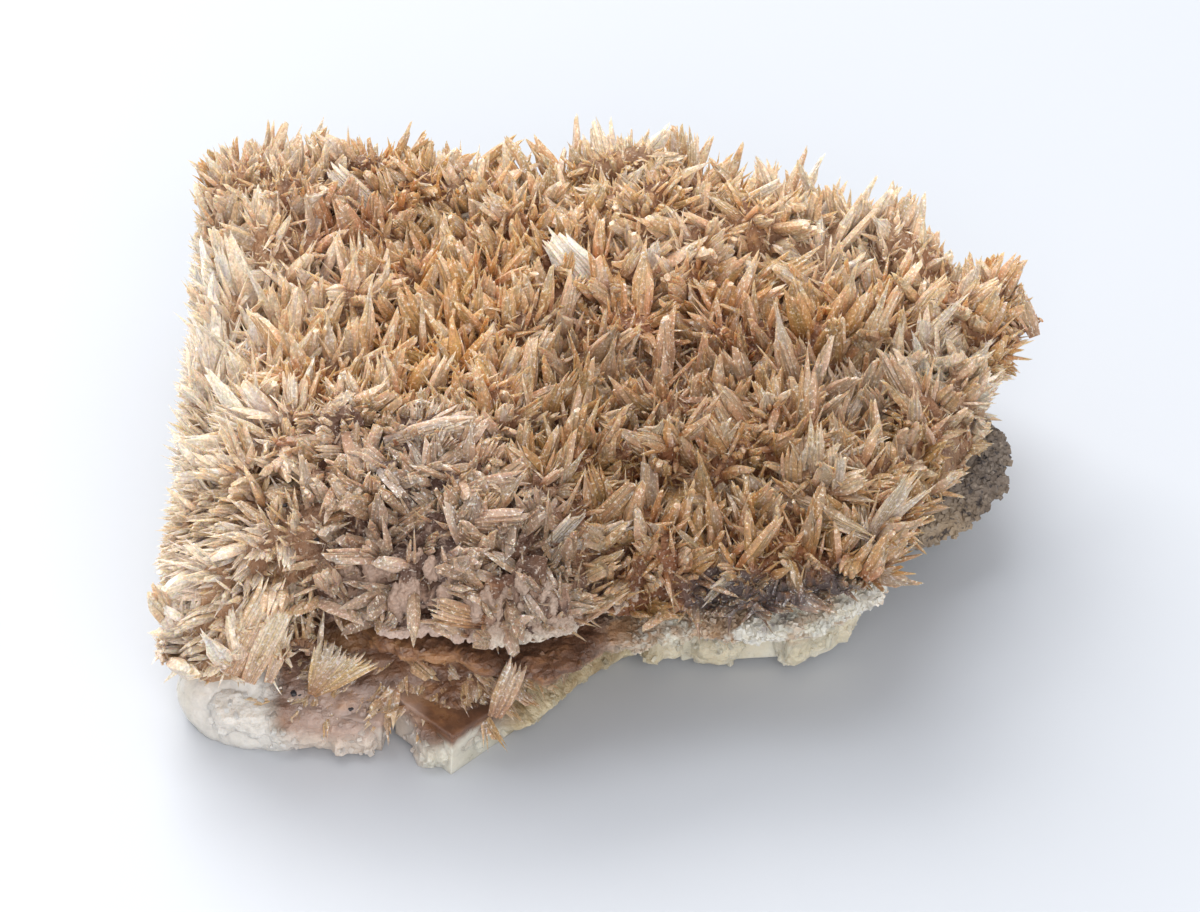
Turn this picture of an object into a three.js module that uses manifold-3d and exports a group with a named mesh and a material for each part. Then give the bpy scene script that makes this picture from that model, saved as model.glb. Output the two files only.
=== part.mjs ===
// Inesite specimen: a hand-sized mat of flat, lance-tipped inesite blades grown on a thin bed of
// white quartz and calcite, with a knob of dark rock under its right end. Millimetres, +Z up, the
// specimen rests on the flat underside of the quartz bed at z = 0, its long front towards -Y.
import * as THREE from 'three';
import { mergeVertices } from 'three/addons/utils/BufferGeometryUtils.js';
import Module from 'manifold-3d';

const wasm = await Module();
wasm.setup();

// ---- driving sizes, mm -------------------------------------------------------------------------
const SEAM = 0.3; // air left between neighbouring pieces
const CRUST_LEVEL = 11.7; // general height of the crust between its standing blades
const CRUST_FLOOR = 7.1; // underside of the crust where it lies on the bed
const SKIRT_FLOOR = 3.8; // underside of the crust where it hangs down the left end
const BED_LEVEL = 6.0; // top of the quartz block
const SHELF_LEVEL = 3.6; // top of the bare shelf along the front left
const LEDGE_TOP = CRUST_FLOOR - SEAM; // top of the thin white ledge just under the crust
const LEDGE_FLOOR = 5.2;
const CRUST_GRID = 32; // steps across the crust, two to a short crystal
const SHORT_RISE = [0.9, 3.5]; // lowest and tallest of the short crystals between the blades
const SHORT_LEAN = 0.55; // sideways reach of a short crystal's tip as a share of its rise
const RIDGE_SHARE = 0.45; // share of the short crystals that spread along each way of the grid
const VALLEY = -0.3; // how far the crust sinks between them
const BLADE_LENGTH = [4, 5.8]; // shortest and longest standing blade, with the part in the crust
const BLADE_WIDTH = [1.1, 1.9];
const BLADE_THICK = [0.6, 1];
const BLADE_ROOT = 1.3; // length of a blade inside the crust
const RIM_PITCH = 4; // spacing of the outward blades along the rim
const SPEAR_SHARE = 0.55; // share of the loose blades that end in a point
const CRUST_CRISP = 3; // how late the crust's top turns over to its edge, see fullness
const SQUARE = 400; // the same for a face that stays flat right out to its edge
const SHOULDER = 0.66; // share of a lance's length below the taper of its tip

// ---- outlines, counter-clockwise seen from above: x, y and the height of the edge --------------
const CRUST_RIM = [
  [11.2, -12.8, 8.7], [14, -12.2, 8.7], [16.2, -10.9, 8.8], [16.8, -8.2, 9], [17.8, -5, 9.2],
  [20.6, -2, 9.2], [22.8, 1.2, 9.2], [23.4, 3.4, 9.3], [22.8, 5.4, 9.4], [24, 7.4, 9.6],
  [25.7, 10.9, 10.2], [23, 12.8, 10.6], [20.4, 14.6, 10.8], [17.4, 16.8, 10.8], [13.8, 18.4, 11],
  [10.2, 20, 11], [6.3, 21, 11.4], [4, 22.2, 11.6], [0.6, 21.5, 11.4], [-2.4, 21.2, 11.2],
  [-5.2, 20.9, 11], [-7.3, 22.2, 11.2], [-12.1, 22.6, 11.3], [-15.8, 22.8, 11.4], [-20.4, 23, 11.6],
  [-23.6, 20.6, 11.4], [-24, 17.2, 11], [-24, 11, 10.6], [-23.8, 5.5, 10.2], [-23.8, -0.5, 9.6],
  [-23.8, -4, 9], [-24.2, -7.4, 8], [-24.7, -11, 6.6], [-24, -13.6, 5.6], [-22.4, -15.4, 4.8],
  [-19.4, -15.4, 5.2], [-17.6, -13.2, 8], [-16, -13.6, 8.5], [-13.4, -14.9, 8.2], [-11.2, -15.8, 7.8],
  [-8.4, -15.9, 7.8], [-5.6, -16.4, 7.8], [-3.6, -16.4, 8], [-1.7, -16.2, 8.2], [0, -14.8, 8.5],
  [2.8, -13.6, 8.7], [5.6, -13.4, 8.7], [8.4, -13.3, 8.7],
];
const BLOCK_RIM = [
  [14.4, -8.6, 2.4], [15.4, -5, 3], [15.2, -1, 3], [15.6, 4, 3], [17.6, 9, 3], [14, 14, 3],
  [5, 16.8, 3], [-8, 17.5, 3], [-18.5, 17, 3], [-20.5, 8, 2.6], [-20.8, 0, 2.4], [-21.6, -6, 2.2],
  [-22.8, -11, 1.8], [-23, -14, 1.6], [-21.6, -15.4, 1.4], [-19.8, -16.4, 1.3], [-17.5, -16.7, 1.3],
  [-15.2, -16.9, 1.4], [-12.8, -17.2, 1.3], [-11.6, -16.2, 1.6], [-10.1, -17.4, 1.3],
  [-8.7, -18.3, 1.2], [-6.8, -16.9, 1.8], [-4.6, -14.4, 2.6], [-1.4, -11.7, 3], [1.7, -8.7, 3],
  [5.8, -9.4, 2], [9.2, -8.7, 2.2],
];
const LEDGE_RIM = [
  [16.2, -10.6], [15.6, -7], [15.2, -2], [15.6, 3], [17, 9], [12, 15], [3, 18], [-8, 18.6], [-18, 18],
  [-20, 8], [-18.6, -3], [-16, -9], [-13.8, -12.2], [-12.8, -14.2], [-11, -15.4], [-8.2, -15.8],
  [-5.4, -17], [-3, -17], [-1.2, -16.2], [0.4, -14.8], [3.2, -13.4], [5.8, -13.3], [8.6, -13.6],
  [12.6, -13],
];
const ROCK_RIM = [
  [18.4, -3, 4.4], [20.8, -1.9, 4.8], [23.4, 0.4, 5.6], [23.6, 3.6, 5.8], [22.2, 7.2, 5.6],
  [18.6, 8, 5.4], [16.6, 4.4, 5], [16.4, -0.6, 4.6],
];

// ---- swells and hollows of the crust: x, y, reach, rise ----------------------------------------
const SWELLS = [
  [-9.3, -9.4, 5.4, 3], // the grey-brown lump at the front left
  [-14.5, -2.4, 5, 1.8], // the brow running back from the lump
  [-20, 19, 5, 1.8], // the back left corner
  [-15.6, 15.4, 2.8, -2], // the hollow beside it
  [-4.5, 14, 3, 0.6],
  [4, 19, 4, 1.2],
  [5.6, 3.6, 5, -1.4], // the low reddish middle
  [13, -3.4, 4, 0.4],
  [9, -11.5, 5, -0.8], // the front right edge
];

// ---- fans of blades at the ends: root, main direction, number, half angle and length -------------
const FANS = [
  [-21.8, 8, 9.4, -1, 0.1, 0.4, 3, 0.7, 3.2], [-21.6, 1, 9, -1, 0, 0.3, 4, 0.9, 3.4],
  [-21.6, -4.4, 7.8, -1, -0.2, 0.1, 4, 0.9, 3.6], [-22.2, -9.6, 6.4, -1, -0.4, 0, 4, 1, 3.6],
  [-21.8, -13.2, 5.8, -0.8, -1, 0, 4, 0.9, 3.4], [-18.6, -12.6, 7, 0.1, -1, 0, 3, 0.6, 4],
  [-21.8, 20.6, 11.2, -1, 0.8, 0.7, 3, 0.7, 3.2], [23, 10.2, 9.8, 1, 0.2, 0.3, 3, 0.7, 3],
  [14.6, -9.8, 8.8, 0.4, -0.2, 1, 4, 0.8, 4.6], [21, 2.4, 9, 1, -0.3, 0.4, 3, 0.8, 3],
];

// ---- the larger lances of the top: where they stand, how they reach, width -----------------------
const LANCES = [
  [2.9, -6.4, 1.5, 0, 4.5, 1.2], [6.4, -6, 1.2, 0.1, 3.2, 1.2], [11.7, -8.2, 0.3, 0, 4.4, 1],
  [13.2, -9.2, 0, 0, 4.6, 0.9], [13.7, -6.4, 2.6, 1, 0.8, 0.8], [10.4, -9.2, 4.8, -2.6, -0.4, 1.2],
  [9.6, -3.7, -0.1, 0, 3.9, 1.1], [9.4, 1.4, 5.2, 0.6, 0.6, 0.9], [17.6, -3.4, -0.1, 0, 3.5, 1],
  [-0.5, 10.9, -3.3, 1.5, 3, 2], [-8.7, 17.1, 5, 0.8, 0.5, 0.9], [-11.3, -7.3, 4.2, 0.5, 1.2, 1.8],
  [-2.9, -13, 1.9, 0.4, 2, 1.1], [-9.8, -11.3, 3, 0.4, 1.2, 1.1],
];

// ---- blades that lie free of the crust on the shelf: foot, reach, width -------------------------
const SHELF_SPRAY = [
  [-16.4, -15.8, 3.7, 2.6, -0.4, 4.2, 1], [-16.4, -15.8, 3.7, 3.4, -0.7, 3.2, 0.9],
  [-16.4, -15.8, 3.7, 1.2, -0.6, 3.6, 0.8],
];
const SHELF_BLADE = [-6, -18, 3.7, 1.4, 0.2, 4, 1.3];

// ---- small helpers -----------------------------------------------------------------------------
const mix = (a, b, share) => a + (b - a) * share;
const ease = (from, to, value) => {
  const share = Math.min(1, Math.max(0, (value - from) / (to - from)));
  return share * share * (3 - 2 * share);
};

// a repeatable run of numbers between 0 and 1
function dice(seed) {
  let state = seed;
  return () => {
    state = (state * 16807) % 2147483647;
    return state / 2147483647;
  };
}

// gentle unevenness, between -1 and 1
const ripple = (x, y) => 0.5 * Math.sin(0.83 * x + 1.1 * Math.sin(0.61 * y))
  + 0.5 * Math.sin(0.97 * y + 1.3 * Math.sin(0.53 * x) + 1);

// a number between 0 and 1 that goes with a place
function scatter(x, y, z) {
  const value = Math.sin(12.9 * x + 78.2 * y + 37.7 * z) * 4375.8;
  return value - Math.floor(value);
}

function toSolid(geometry) {
  let bare = geometry.clone();
  bare.deleteAttribute('normal');
  bare.deleteAttribute('uv');
  bare = mergeVertices(bare, 1e-4);
  return new wasm.Manifold(new wasm.Mesh({
    numProp: 3,
    vertProperties: new Float32Array(bare.attributes.position.array),
    triVerts: new Uint32Array(bare.index.array),
  }));
}

function toGeometry(solid) {
  const mesh = solid.getMesh();
  const geometry = new THREE.BufferGeometry();
  geometry.setAttribute('position', new THREE.BufferAttribute(new Float32Array(mesh.vertProperties), 3));
  geometry.setIndex(new THREE.BufferAttribute(new Uint32Array(mesh.triVerts), 1));
  return geometry;
}

// the point a share of the way round a closed outline, the same number of steps on every side
function along(rim, share) {
  const place = ((share + 1) % 1) * rim.length;
  const side = Math.floor(place);
  const a = rim[side % rim.length];
  const b = rim[(side + 1) % rim.length];
  return a.map((value, i) => mix(value, b[i], place - side));
}

// How far out a point lies (0 at the middle of an outline, 1 on it) and the height of the edge there.
function reachOut(rim, middle, x, y) {
  const dx = x - middle[0];
  const dy = y - middle[1];
  for (let i = 0; i < rim.length; i += 1) {
    const [px, py, pz] = rim[i];
    const [qx, qy, qz] = rim[(i + 1) % rim.length];
    const [ax, ay, bx, by] = [px - middle[0], py - middle[1], qx - middle[0], qy - middle[1]];
    const before = ax * dy - ay * dx;
    const after = bx * dy - by * dx;
    if (before >= 0 && after < 0) {
      const share = (dx * (by - ay) - dy * (bx - ax)) / (ax * by - ay * bx);
      return [share, mix(pz, qz, before / (before - after))];
    }
  }
  return [0, rim[0][2]];
}

// How full a slab is at a share of its reach: 1 in the middle, falling to 0 on the edge, the later
// the crisper its shoulder is.
const fullness = (share, crisp) => Math.max(0, 1 - Math.min(1, share) ** crisp) ** 0.3;

// How far round the square that a point lies on, from the corner at +X -Y, counter-clockwise.
function roundSquare(x, y) {
  const half = Math.max(Math.abs(x), Math.abs(y), 1e-9);
  if (y <= -half) return 0.75 + 0.125 * (1 + x / half);
  if (x <= -half) return 0.5 + 0.125 * (1 - y / half);
  if (y >= half) return 0.25 + 0.125 * (1 - x / half);
  return 0.125 * (1 + y / half);
}

// The short crystal that a point of the crust's grid belongs to, as its rise and its lean in x and y.
// Crystals stand on the odd points, and about half of them reach on to the next point as a ridge.
function shortCrystal(i, j) {
  let [rootI, rootJ, share] = [i, j, 1];
  if (i % 2 === 0 && j % 2 && scatter(i - 1, j, 2) < RIDGE_SHARE) [rootI, share] = [i - 1, 0.85];
  else if (i % 2 && j % 2 === 0 && scatter(i, j - 1, 2) > 1 - RIDGE_SHARE) [rootJ, share] = [j - 1, 0.85];
  else if (i % 2 === 0 || j % 2 === 0) return [VALLEY, 0, 0];
  const rise = mix(...SHORT_RISE, scatter(rootI, rootJ, 1));
  const lean = [3, 4].map((n) => SHORT_LEAN * rise * (scatter(rootI, rootJ, n) - 0.5));
  return [rise * share, ...lean];
}

// A slab: a box whose squares, one inside the other, are spread out to an outline. Its top and its
// underside are drawn to two height fields and turn over to the height of the edge.
function slab({ grid, rim, middle, upper, lower, crisp, wall, edge, fray, crystals = false }) {
  const geometry = new THREE.BoxGeometry(2, 2, 2, grid, grid, 2);
  const at = geometry.attributes.position;
  for (let i = 0; i < at.count; i += 1) {
    const [bx, by, bz] = [at.getX(i), at.getY(i), at.getZ(i)];
    const share = Math.max(Math.abs(bx), Math.abs(by));
    const [rimX, rimY, rimZ = edge] = along(rim, roundSquare(bx, by));
    const bulge = share > 0.999 && Math.abs(bz) > 0.5 ? 0.4 : 0;
    const out = share * (1 + (fray * ripple(2.3 * rimX, 2.3 * rimY) - bulge) / Math.hypot(rimX, rimY));
    const full = fullness(share, crisp[bz > 0 ? 0 : 1]);
    let [rise, leanX, leanY] = [0, 0, 0];
    if (crystals && bz > 0 && share < 0.96) {
      [rise, leanX, leanY] = shortCrystal(...[bx, by].map((b) => Math.round((b + 1) / 2 * grid)));
    }
    const x = mix(middle[0], rimX, out) + leanX;
    const y = mix(middle[1], rimY, out) + leanY;
    const z = mix(rimZ + bz * wall, bz > 0 ? upper(x, y) : lower(x, y), full);
    at.setXYZ(i, x, y, Math.max(z, lower(x, y) + 0.4 * (1 + bz)) + rise);
  }
  return toSolid(geometry);
}

// A blade stands on a point and leans along a direction, turned about its own length. A lance widens
// from its foot to a shoulder, a lath narrows all the way, and both end in a slanting chisel edge; a
// spear is a flat pyramid.
function blade({ foot, toward, width, thick, roll, form = 'lath' }) {
  const direction = new THREE.Vector3(...toward);
  const length = direction.length();
  const levels = form === 'lance' ? 2 : 1;
  const across = form === 'lance' ? [0.6, 1, 0.3] : [1, 0.3];
  const rise = form === 'lance' ? [0, SHOULDER, 1] : [0, 1];
  const geometry = form === 'spear'
    ? new THREE.ConeGeometry(0.6, length, 4).rotateX(Math.PI / 2)
    : new THREE.BoxGeometry(width, thick, length, 1, 1, levels);
  if (form === 'spear') geometry.scale(width, thick, 1).translate(0, 0, length / 2);
  const at = geometry.attributes.position;
  for (let i = 0; i < at.count && form !== 'spear'; i += 1) {
    const level = Math.round((at.getZ(i) / length + 0.5) * levels);
    const tip = level === levels ? 1 : 0;
    const side = at.getX(i) * across[level] + tip * 0.15 * width;
    at.setXYZ(i, side, at.getY(i) * mix(1, 0.6, tip), rise[level] * length + tip * 0.5 * at.getX(i));
  }
  geometry.rotateZ(roll);
  geometry.applyQuaternion(new THREE.Quaternion().setFromUnitVectors(
    new THREE.Vector3(0, 0, 1), direction.normalize()));
  geometry.translate(...foot);
  return toSolid(geometry);
}

// a random blade within the general sizes, leaning off a main direction
function looseBlade(roll, foot, main, lean, scale = 1) {
  const around = roll() * 2 * Math.PI;
  const tilt = lean * Math.sqrt(roll());
  const axis = new THREE.Vector3(...main).normalize();
  const side = new THREE.Vector3(Math.cos(around), Math.sin(around), 0.01).cross(axis).normalize();
  axis.applyAxisAngle(side, tilt).multiplyScalar(mix(...BLADE_LENGTH, roll()) * scale);
  return blade({
    foot,
    toward: axis.toArray(),
    width: mix(...BLADE_WIDTH, roll()) * Math.sqrt(scale),
    thick: mix(...BLADE_THICK, roll()) * Math.sqrt(scale),
    roll: roll() * Math.PI,
    form: roll() < SPEAR_SHARE ? 'spear' : 'lath',
  });
}

const join = (solids) => solids.reduce((whole, solid) => whole.add(solid));

// ---- heights -----------------------------------------------------------------------------------
const skirtShare = (x, y) => {
  const start = mix(-20.2, -17.8, ease(-6, -13, y));
  return ease(start, start - 2.6, x) * ease(5, -5, y);
};
const crustTop = (x, y) => SWELLS.reduce(
  (height, [sx, sy, reach, rise]) => height + rise * Math.exp(-((Math.hypot(x - sx, y - sy) / reach) ** 2)),
  CRUST_LEVEL + 0.35 * ripple(x, y) - 0.07 * Math.max(0, x - 8),
);
const crustFloor = (x, y) => mix(CRUST_FLOOR, SKIRT_FLOOR, skirtShare(x, y));
const blockTop = (x, y) => {
  const shelf = ease(-12.4, -14, y - 0.9 * Math.max(0, x + 4.6)) * ease(4, 1, x);
  const skirt = skirtShare(x - 2, y - 2);
  return mix(BED_LEVEL, mix(SHELF_LEVEL, 2.5, skirt), Math.max(shelf, skirt)) + 0.2 * ripple(2 * x, 2 * y);
};

const MIDDLE = [-2, 1]; // of the bed and the crust, seen from above
const crustFace = (x, y) => {
  const [share, edge] = reachOut(CRUST_RIM, MIDDLE, x, y);
  return mix(edge, crustTop(x, y), fullness(share, CRUST_CRISP));
};

// ---- the quartz bed ----------------------------------------------------------------------------
function quartzBed() {
  const block = slab({
    grid: 7, rim: BLOCK_RIM, middle: MIDDLE, upper: blockTop, lower: () => 0,
    crisp: [5, SQUARE], wall: 1.1, fray: 0.3,
  });
  const ledge = slab({
    grid: 12, rim: LEDGE_RIM, middle: MIDDLE, upper: () => LEDGE_TOP, lower: () => LEDGE_FLOOR,
    crisp: [SQUARE, SQUARE], wall: 0.5, edge: 6.1, fray: 0.5,
  });
  // blocky crystals and round lumps along the foot of the shelf and under the ledge
  const cube = (sx, sy, sz) => new THREE.BoxGeometry(sx, sy, sz);
  const lump = (sx, sy, sz) => new THREE.DodecahedronGeometry(0.6).scale(sx, sy, sz);
  const stubs = [
    [cube(4, 3.2, 2.6), -9.1, -15.8, 1.6, 0.75, 0.3], [cube(4.6, 3, 2.2), -13.4, -14.9, 1.2, 0.5, -0.25],
    [lump(3.4, 2.6, 2.4), -17.2, -15.6, 1.4, 0.4, 0.3], [lump(3.2, 2.8, 2.8), -20.6, -14.6, 1.7, 1.1, 0.2],
    [lump(2.8, 3, 2.8), -22.2, -12.4, 1.8, 0.3, -0.3], [cube(3, 2.6, 2.6), 11.6, -8.2, 2.2, 0.5, 0.3],
    [lump(2.8, 2.4, 2.6), 6.8, -8.6, 1.7, 0.9, 0.1], [cube(2.2, 2.4, 2.4), 3.8, -8, 1.9, 0.3, -0.2],
  ].map(([shape, x, y, z, turn, tip]) => toSolid(shape.rotateX(tip).rotateZ(turn).translate(x, y, z)));
  const bed = join([block, ledge, ...stubs]);
  const below = toSolid(new THREE.BoxGeometry(80, 80, 10).translate(0, 0, -5));
  return bed.subtract(below);
}

// ---- the crust ---------------------------------------------------------------------------------
function inesiteCrust() {
  const parts = [slab({
    grid: CRUST_GRID, rim: CRUST_RIM, middle: MIDDLE, upper: crustTop, lower: crustFloor,
    crisp: [CRUST_CRISP, SQUARE], wall: 0.7, fray: 0.5, crystals: true,
  })];
  const roll = dice(4711);

  // outward blades along the rim
  let walked = 0;
  for (let step = 0; step < 400; step += 1) {
    const [x, y, edge] = along(CRUST_RIM, step / 400);
    const [nextX, nextY] = along(CRUST_RIM, (step + 1) / 400);
    walked += Math.hypot(nextX - x, nextY - y);
    if (walked < RIM_PITCH) continue;
    walked = 0;
    const inward = new THREE.Vector3(MIDDLE[0] - x, MIDDLE[1] - y, 0).setLength(1.6);
    const front = ease(-8, -12, y) * ease(-18, -14, x);
    const face = Math.min(crustFace(x + inward.x, y + inward.y), edge + 2.5);
    const foot = [x + inward.x, y + inward.y, face - BLADE_ROOT];
    const outward = [-inward.x, -inward.y, mix(1.2, 0.9, front)];
    parts.push(looseBlade(roll, foot, outward, 0.5, mix(0.68, 0.66, front)));
  }
  for (const [x, y, z, dx, dy, dz, count, open, length] of FANS) {
    const across = new THREE.Vector3(dx, dy, dz).cross(new THREE.Vector3(dy, -dx, 0.3 * dx)).normalize();
    for (let n = 0; n < count; n += 1) {
      const swing = mix(-open, open, n / (count - 1)) + mix(-0.1, 0.1, roll());
      const toward = new THREE.Vector3(dx, dy, dz).applyAxisAngle(across, swing);
      parts.push(blade({
        foot: [x, y, z],
        toward: toward.setLength(length * mix(0.85, 1.1, roll())).toArray(),
        width: mix(...BLADE_WIDTH, roll()),
        thick: BLADE_THICK[0],
        roll: roll() * Math.PI,
      }));
    }
  }
  for (const [x, y, dx, dy, dz, width] of LANCES) {
    const root = new THREE.Vector3(dx, dy, Math.max(dz, 1)).setLength(BLADE_ROOT);
    parts.push(blade({
      foot: [x - root.x, y - root.y, crustFace(x, y) - root.z],
      toward: [dx + root.x, dy + root.y, dz + root.z],
      width, thick: 0.45 * width, roll: 0.25, form: 'lance',
    }));
  }
  return join(parts);
}

// ---- blades on the shelf -----------------------------------------------------------------------
const shelfBlades = (blades) => join(blades.map(([x, y, z, dx, dy, dz, width]) => blade({
  foot: [x, y, z], toward: [dx, dy, dz], width, thick: 0.5, roll: 0.2, form: 'lance',
})));

// ---- the dark rock -----------------------------------------------------------------------------
const hostRock = () => slab({
  grid: 4, rim: ROCK_RIM, middle: [19.8, 2.4], upper: () => CRUST_FLOOR - SEAM,
  lower: (x) => mix(2.2, 3.4, ease(18, 23, x)), crisp: [4, 3], wall: 0.6, fray: 0.3,
});

const specimen = new THREE.Group();
specimen.name = 'inesite_specimen';
for (const [name, solid, colour, roughness] of [
  ['quartz_bed', quartzBed(), 0xc8bfae, 0.45],
  ['host_rock', hostRock(), 0x74645a, 0.9],
  ['inesite_crust', inesiteCrust(), 0xb08d6e, 0.5],
  ['shelf_spray', shelfBlades(SHELF_SPRAY), 0xbfa072, 0.4],
  ['shelf_blade', shelfBlades([SHELF_BLADE]), 0xb58a6c, 0.4],
]) {
  const material = new THREE.MeshStandardMaterial({ color: colour, roughness, metalness: 0 });
  const mesh = new THREE.Mesh(toGeometry(solid), material);
  mesh.name = name;
  specimen.add(mesh);
}

// the middle of the whole specimen, seen from above, comes to x = y = 0
const whole = new THREE.Box3().setFromObject(specimen);
const centre = whole.getCenter(new THREE.Vector3());
for (const mesh of specimen.children) mesh.geometry.translate(-centre.x, -centre.y, -whole.min.z);

export default specimen;
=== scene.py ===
"""Inesite specimen: the looks of a mat of inesite blades on quartz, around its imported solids.

Run as a script, it dresses every solid of the frame, sets up a pale floor, soft light and a camera.
"""

import math
from types import SimpleNamespace

import bmesh
import bpy
import numpy as np
from mathutils import Matrix, Vector, noise
from mathutils.bvhtree import BVHTree


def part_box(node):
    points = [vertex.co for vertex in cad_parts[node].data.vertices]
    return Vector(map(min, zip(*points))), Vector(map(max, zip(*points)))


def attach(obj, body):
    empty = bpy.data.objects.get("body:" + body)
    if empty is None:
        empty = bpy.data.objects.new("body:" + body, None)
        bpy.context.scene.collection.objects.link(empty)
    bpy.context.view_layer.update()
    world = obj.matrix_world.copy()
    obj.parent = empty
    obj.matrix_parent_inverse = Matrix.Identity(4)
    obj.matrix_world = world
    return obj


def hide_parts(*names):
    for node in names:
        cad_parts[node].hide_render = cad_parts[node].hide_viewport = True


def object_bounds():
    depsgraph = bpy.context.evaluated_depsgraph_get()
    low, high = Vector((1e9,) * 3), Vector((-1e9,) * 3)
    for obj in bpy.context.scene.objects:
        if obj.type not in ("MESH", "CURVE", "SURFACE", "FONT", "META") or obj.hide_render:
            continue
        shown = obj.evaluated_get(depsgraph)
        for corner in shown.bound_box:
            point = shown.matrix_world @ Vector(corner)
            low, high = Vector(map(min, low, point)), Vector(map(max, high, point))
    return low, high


bl_info = {
    "name": "Inesite specimen",
    "version": (1, 0, 0),
    "blender": (4, 5, 0),
    "location": "View3D > Sidebar > Inesite",
    "description": "Blades, quartz bed and rock of an inesite specimen, around its packed solids",
    "category": "Object",
}

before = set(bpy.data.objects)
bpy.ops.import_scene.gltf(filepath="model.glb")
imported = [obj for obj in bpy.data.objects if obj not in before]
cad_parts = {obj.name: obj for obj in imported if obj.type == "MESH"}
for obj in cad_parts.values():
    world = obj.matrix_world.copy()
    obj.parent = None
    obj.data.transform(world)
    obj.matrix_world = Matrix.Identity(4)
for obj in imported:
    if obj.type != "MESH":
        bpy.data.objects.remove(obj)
CAD_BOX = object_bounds()
MM = 0.001
BODY = "root"

# ---- places on the specimen, mm in its own frame: x, y, reach, strength --------------------------
LUMP_SPOTS = [
    (-10.5, -12.5, 5.4, 1.2), (-14.5, -9.5, 4, 0.7), (-5, -15.8, 3.6, 0.9), (-12.5, -16.8, 3.4, 1.1),
    (-8.5, -17.8, 3.2, 1.1), (-5, -18.6, 2.4, 0.9),
]
RED_SPOTS = [
    (5.4, 0.5, 5.5, 0.9), (25, 8.5, 3, 0.6), (-15.8, 12.3, 4, 0.75), (-20, 16, 5, 0.3), (12.5, -2, 3, 0.4),
    (4, -15, 3, 0.35),
]
# partly pale blades and partly painted light where the left, back and right ends are backlit
PALE_AND_BACKLIT_SPOTS = [
    (-26, 2, 8, 1), (-24.5, -7, 6.5, 1), (-25, 8, 6, 0.9), (-22.5, -15.5, 5.5, 0.8), (21, 0, 5.5, 0.65),
    (4, 22, 9, 0.3), (14, 12, 7, 0.4), (-16, 20, 9, 0.25), (-24, 12, 5, 0.4), (3, 10, 4, 0.3),
]
FAN_SPOTS = [(-22, -14.5, 4.6, 1), (-23.5, -8, 4.6, 1), (-24.5, 0, 4, 0.7), (-24.5, 8, 4, 0.5)]
SHORT_SPOTS = [
    (24, 0.5, 4.2, 0.6), (22, -4, 3, 0.6), (26, 6, 3, 0.4), (16.5, -9, 2.4, 0.35), (20.5, 12.5, 4, 0.6),
    (25, 9.5, 3, 0.5), (-13, 20, 5, 0.3),
]
SPARSE_SPOTS = [
    (20.5, -5.5, 2.4, 0.85), (-14.5, -16.5, 1.6, 0.6), (-4, -19.4, 2, 0.9),
    (-10, -18.8, 1.6, 0.8), (-1.6, -18.8, 1.4, 0.7), (-20.8, -18.2, 2, 0.4),
]
# the middles, mm, that the left end's fans and the laths strewn on the shelf point away from
FAN_HEART = (-14, -8, 0)
SHELF_HEART = (-10, -12.5, 5)

# how far the blades end short of the solids' box, mm, at its low and high sides; past it below zero
TRIM_LOW = (1.3, 0, 0)
TRIM_HIGH = (1.2, -0.6, 0.35)
# how far any piece may pass that box, except below, as a share of the box
PAST_BOX = 0.025

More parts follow.
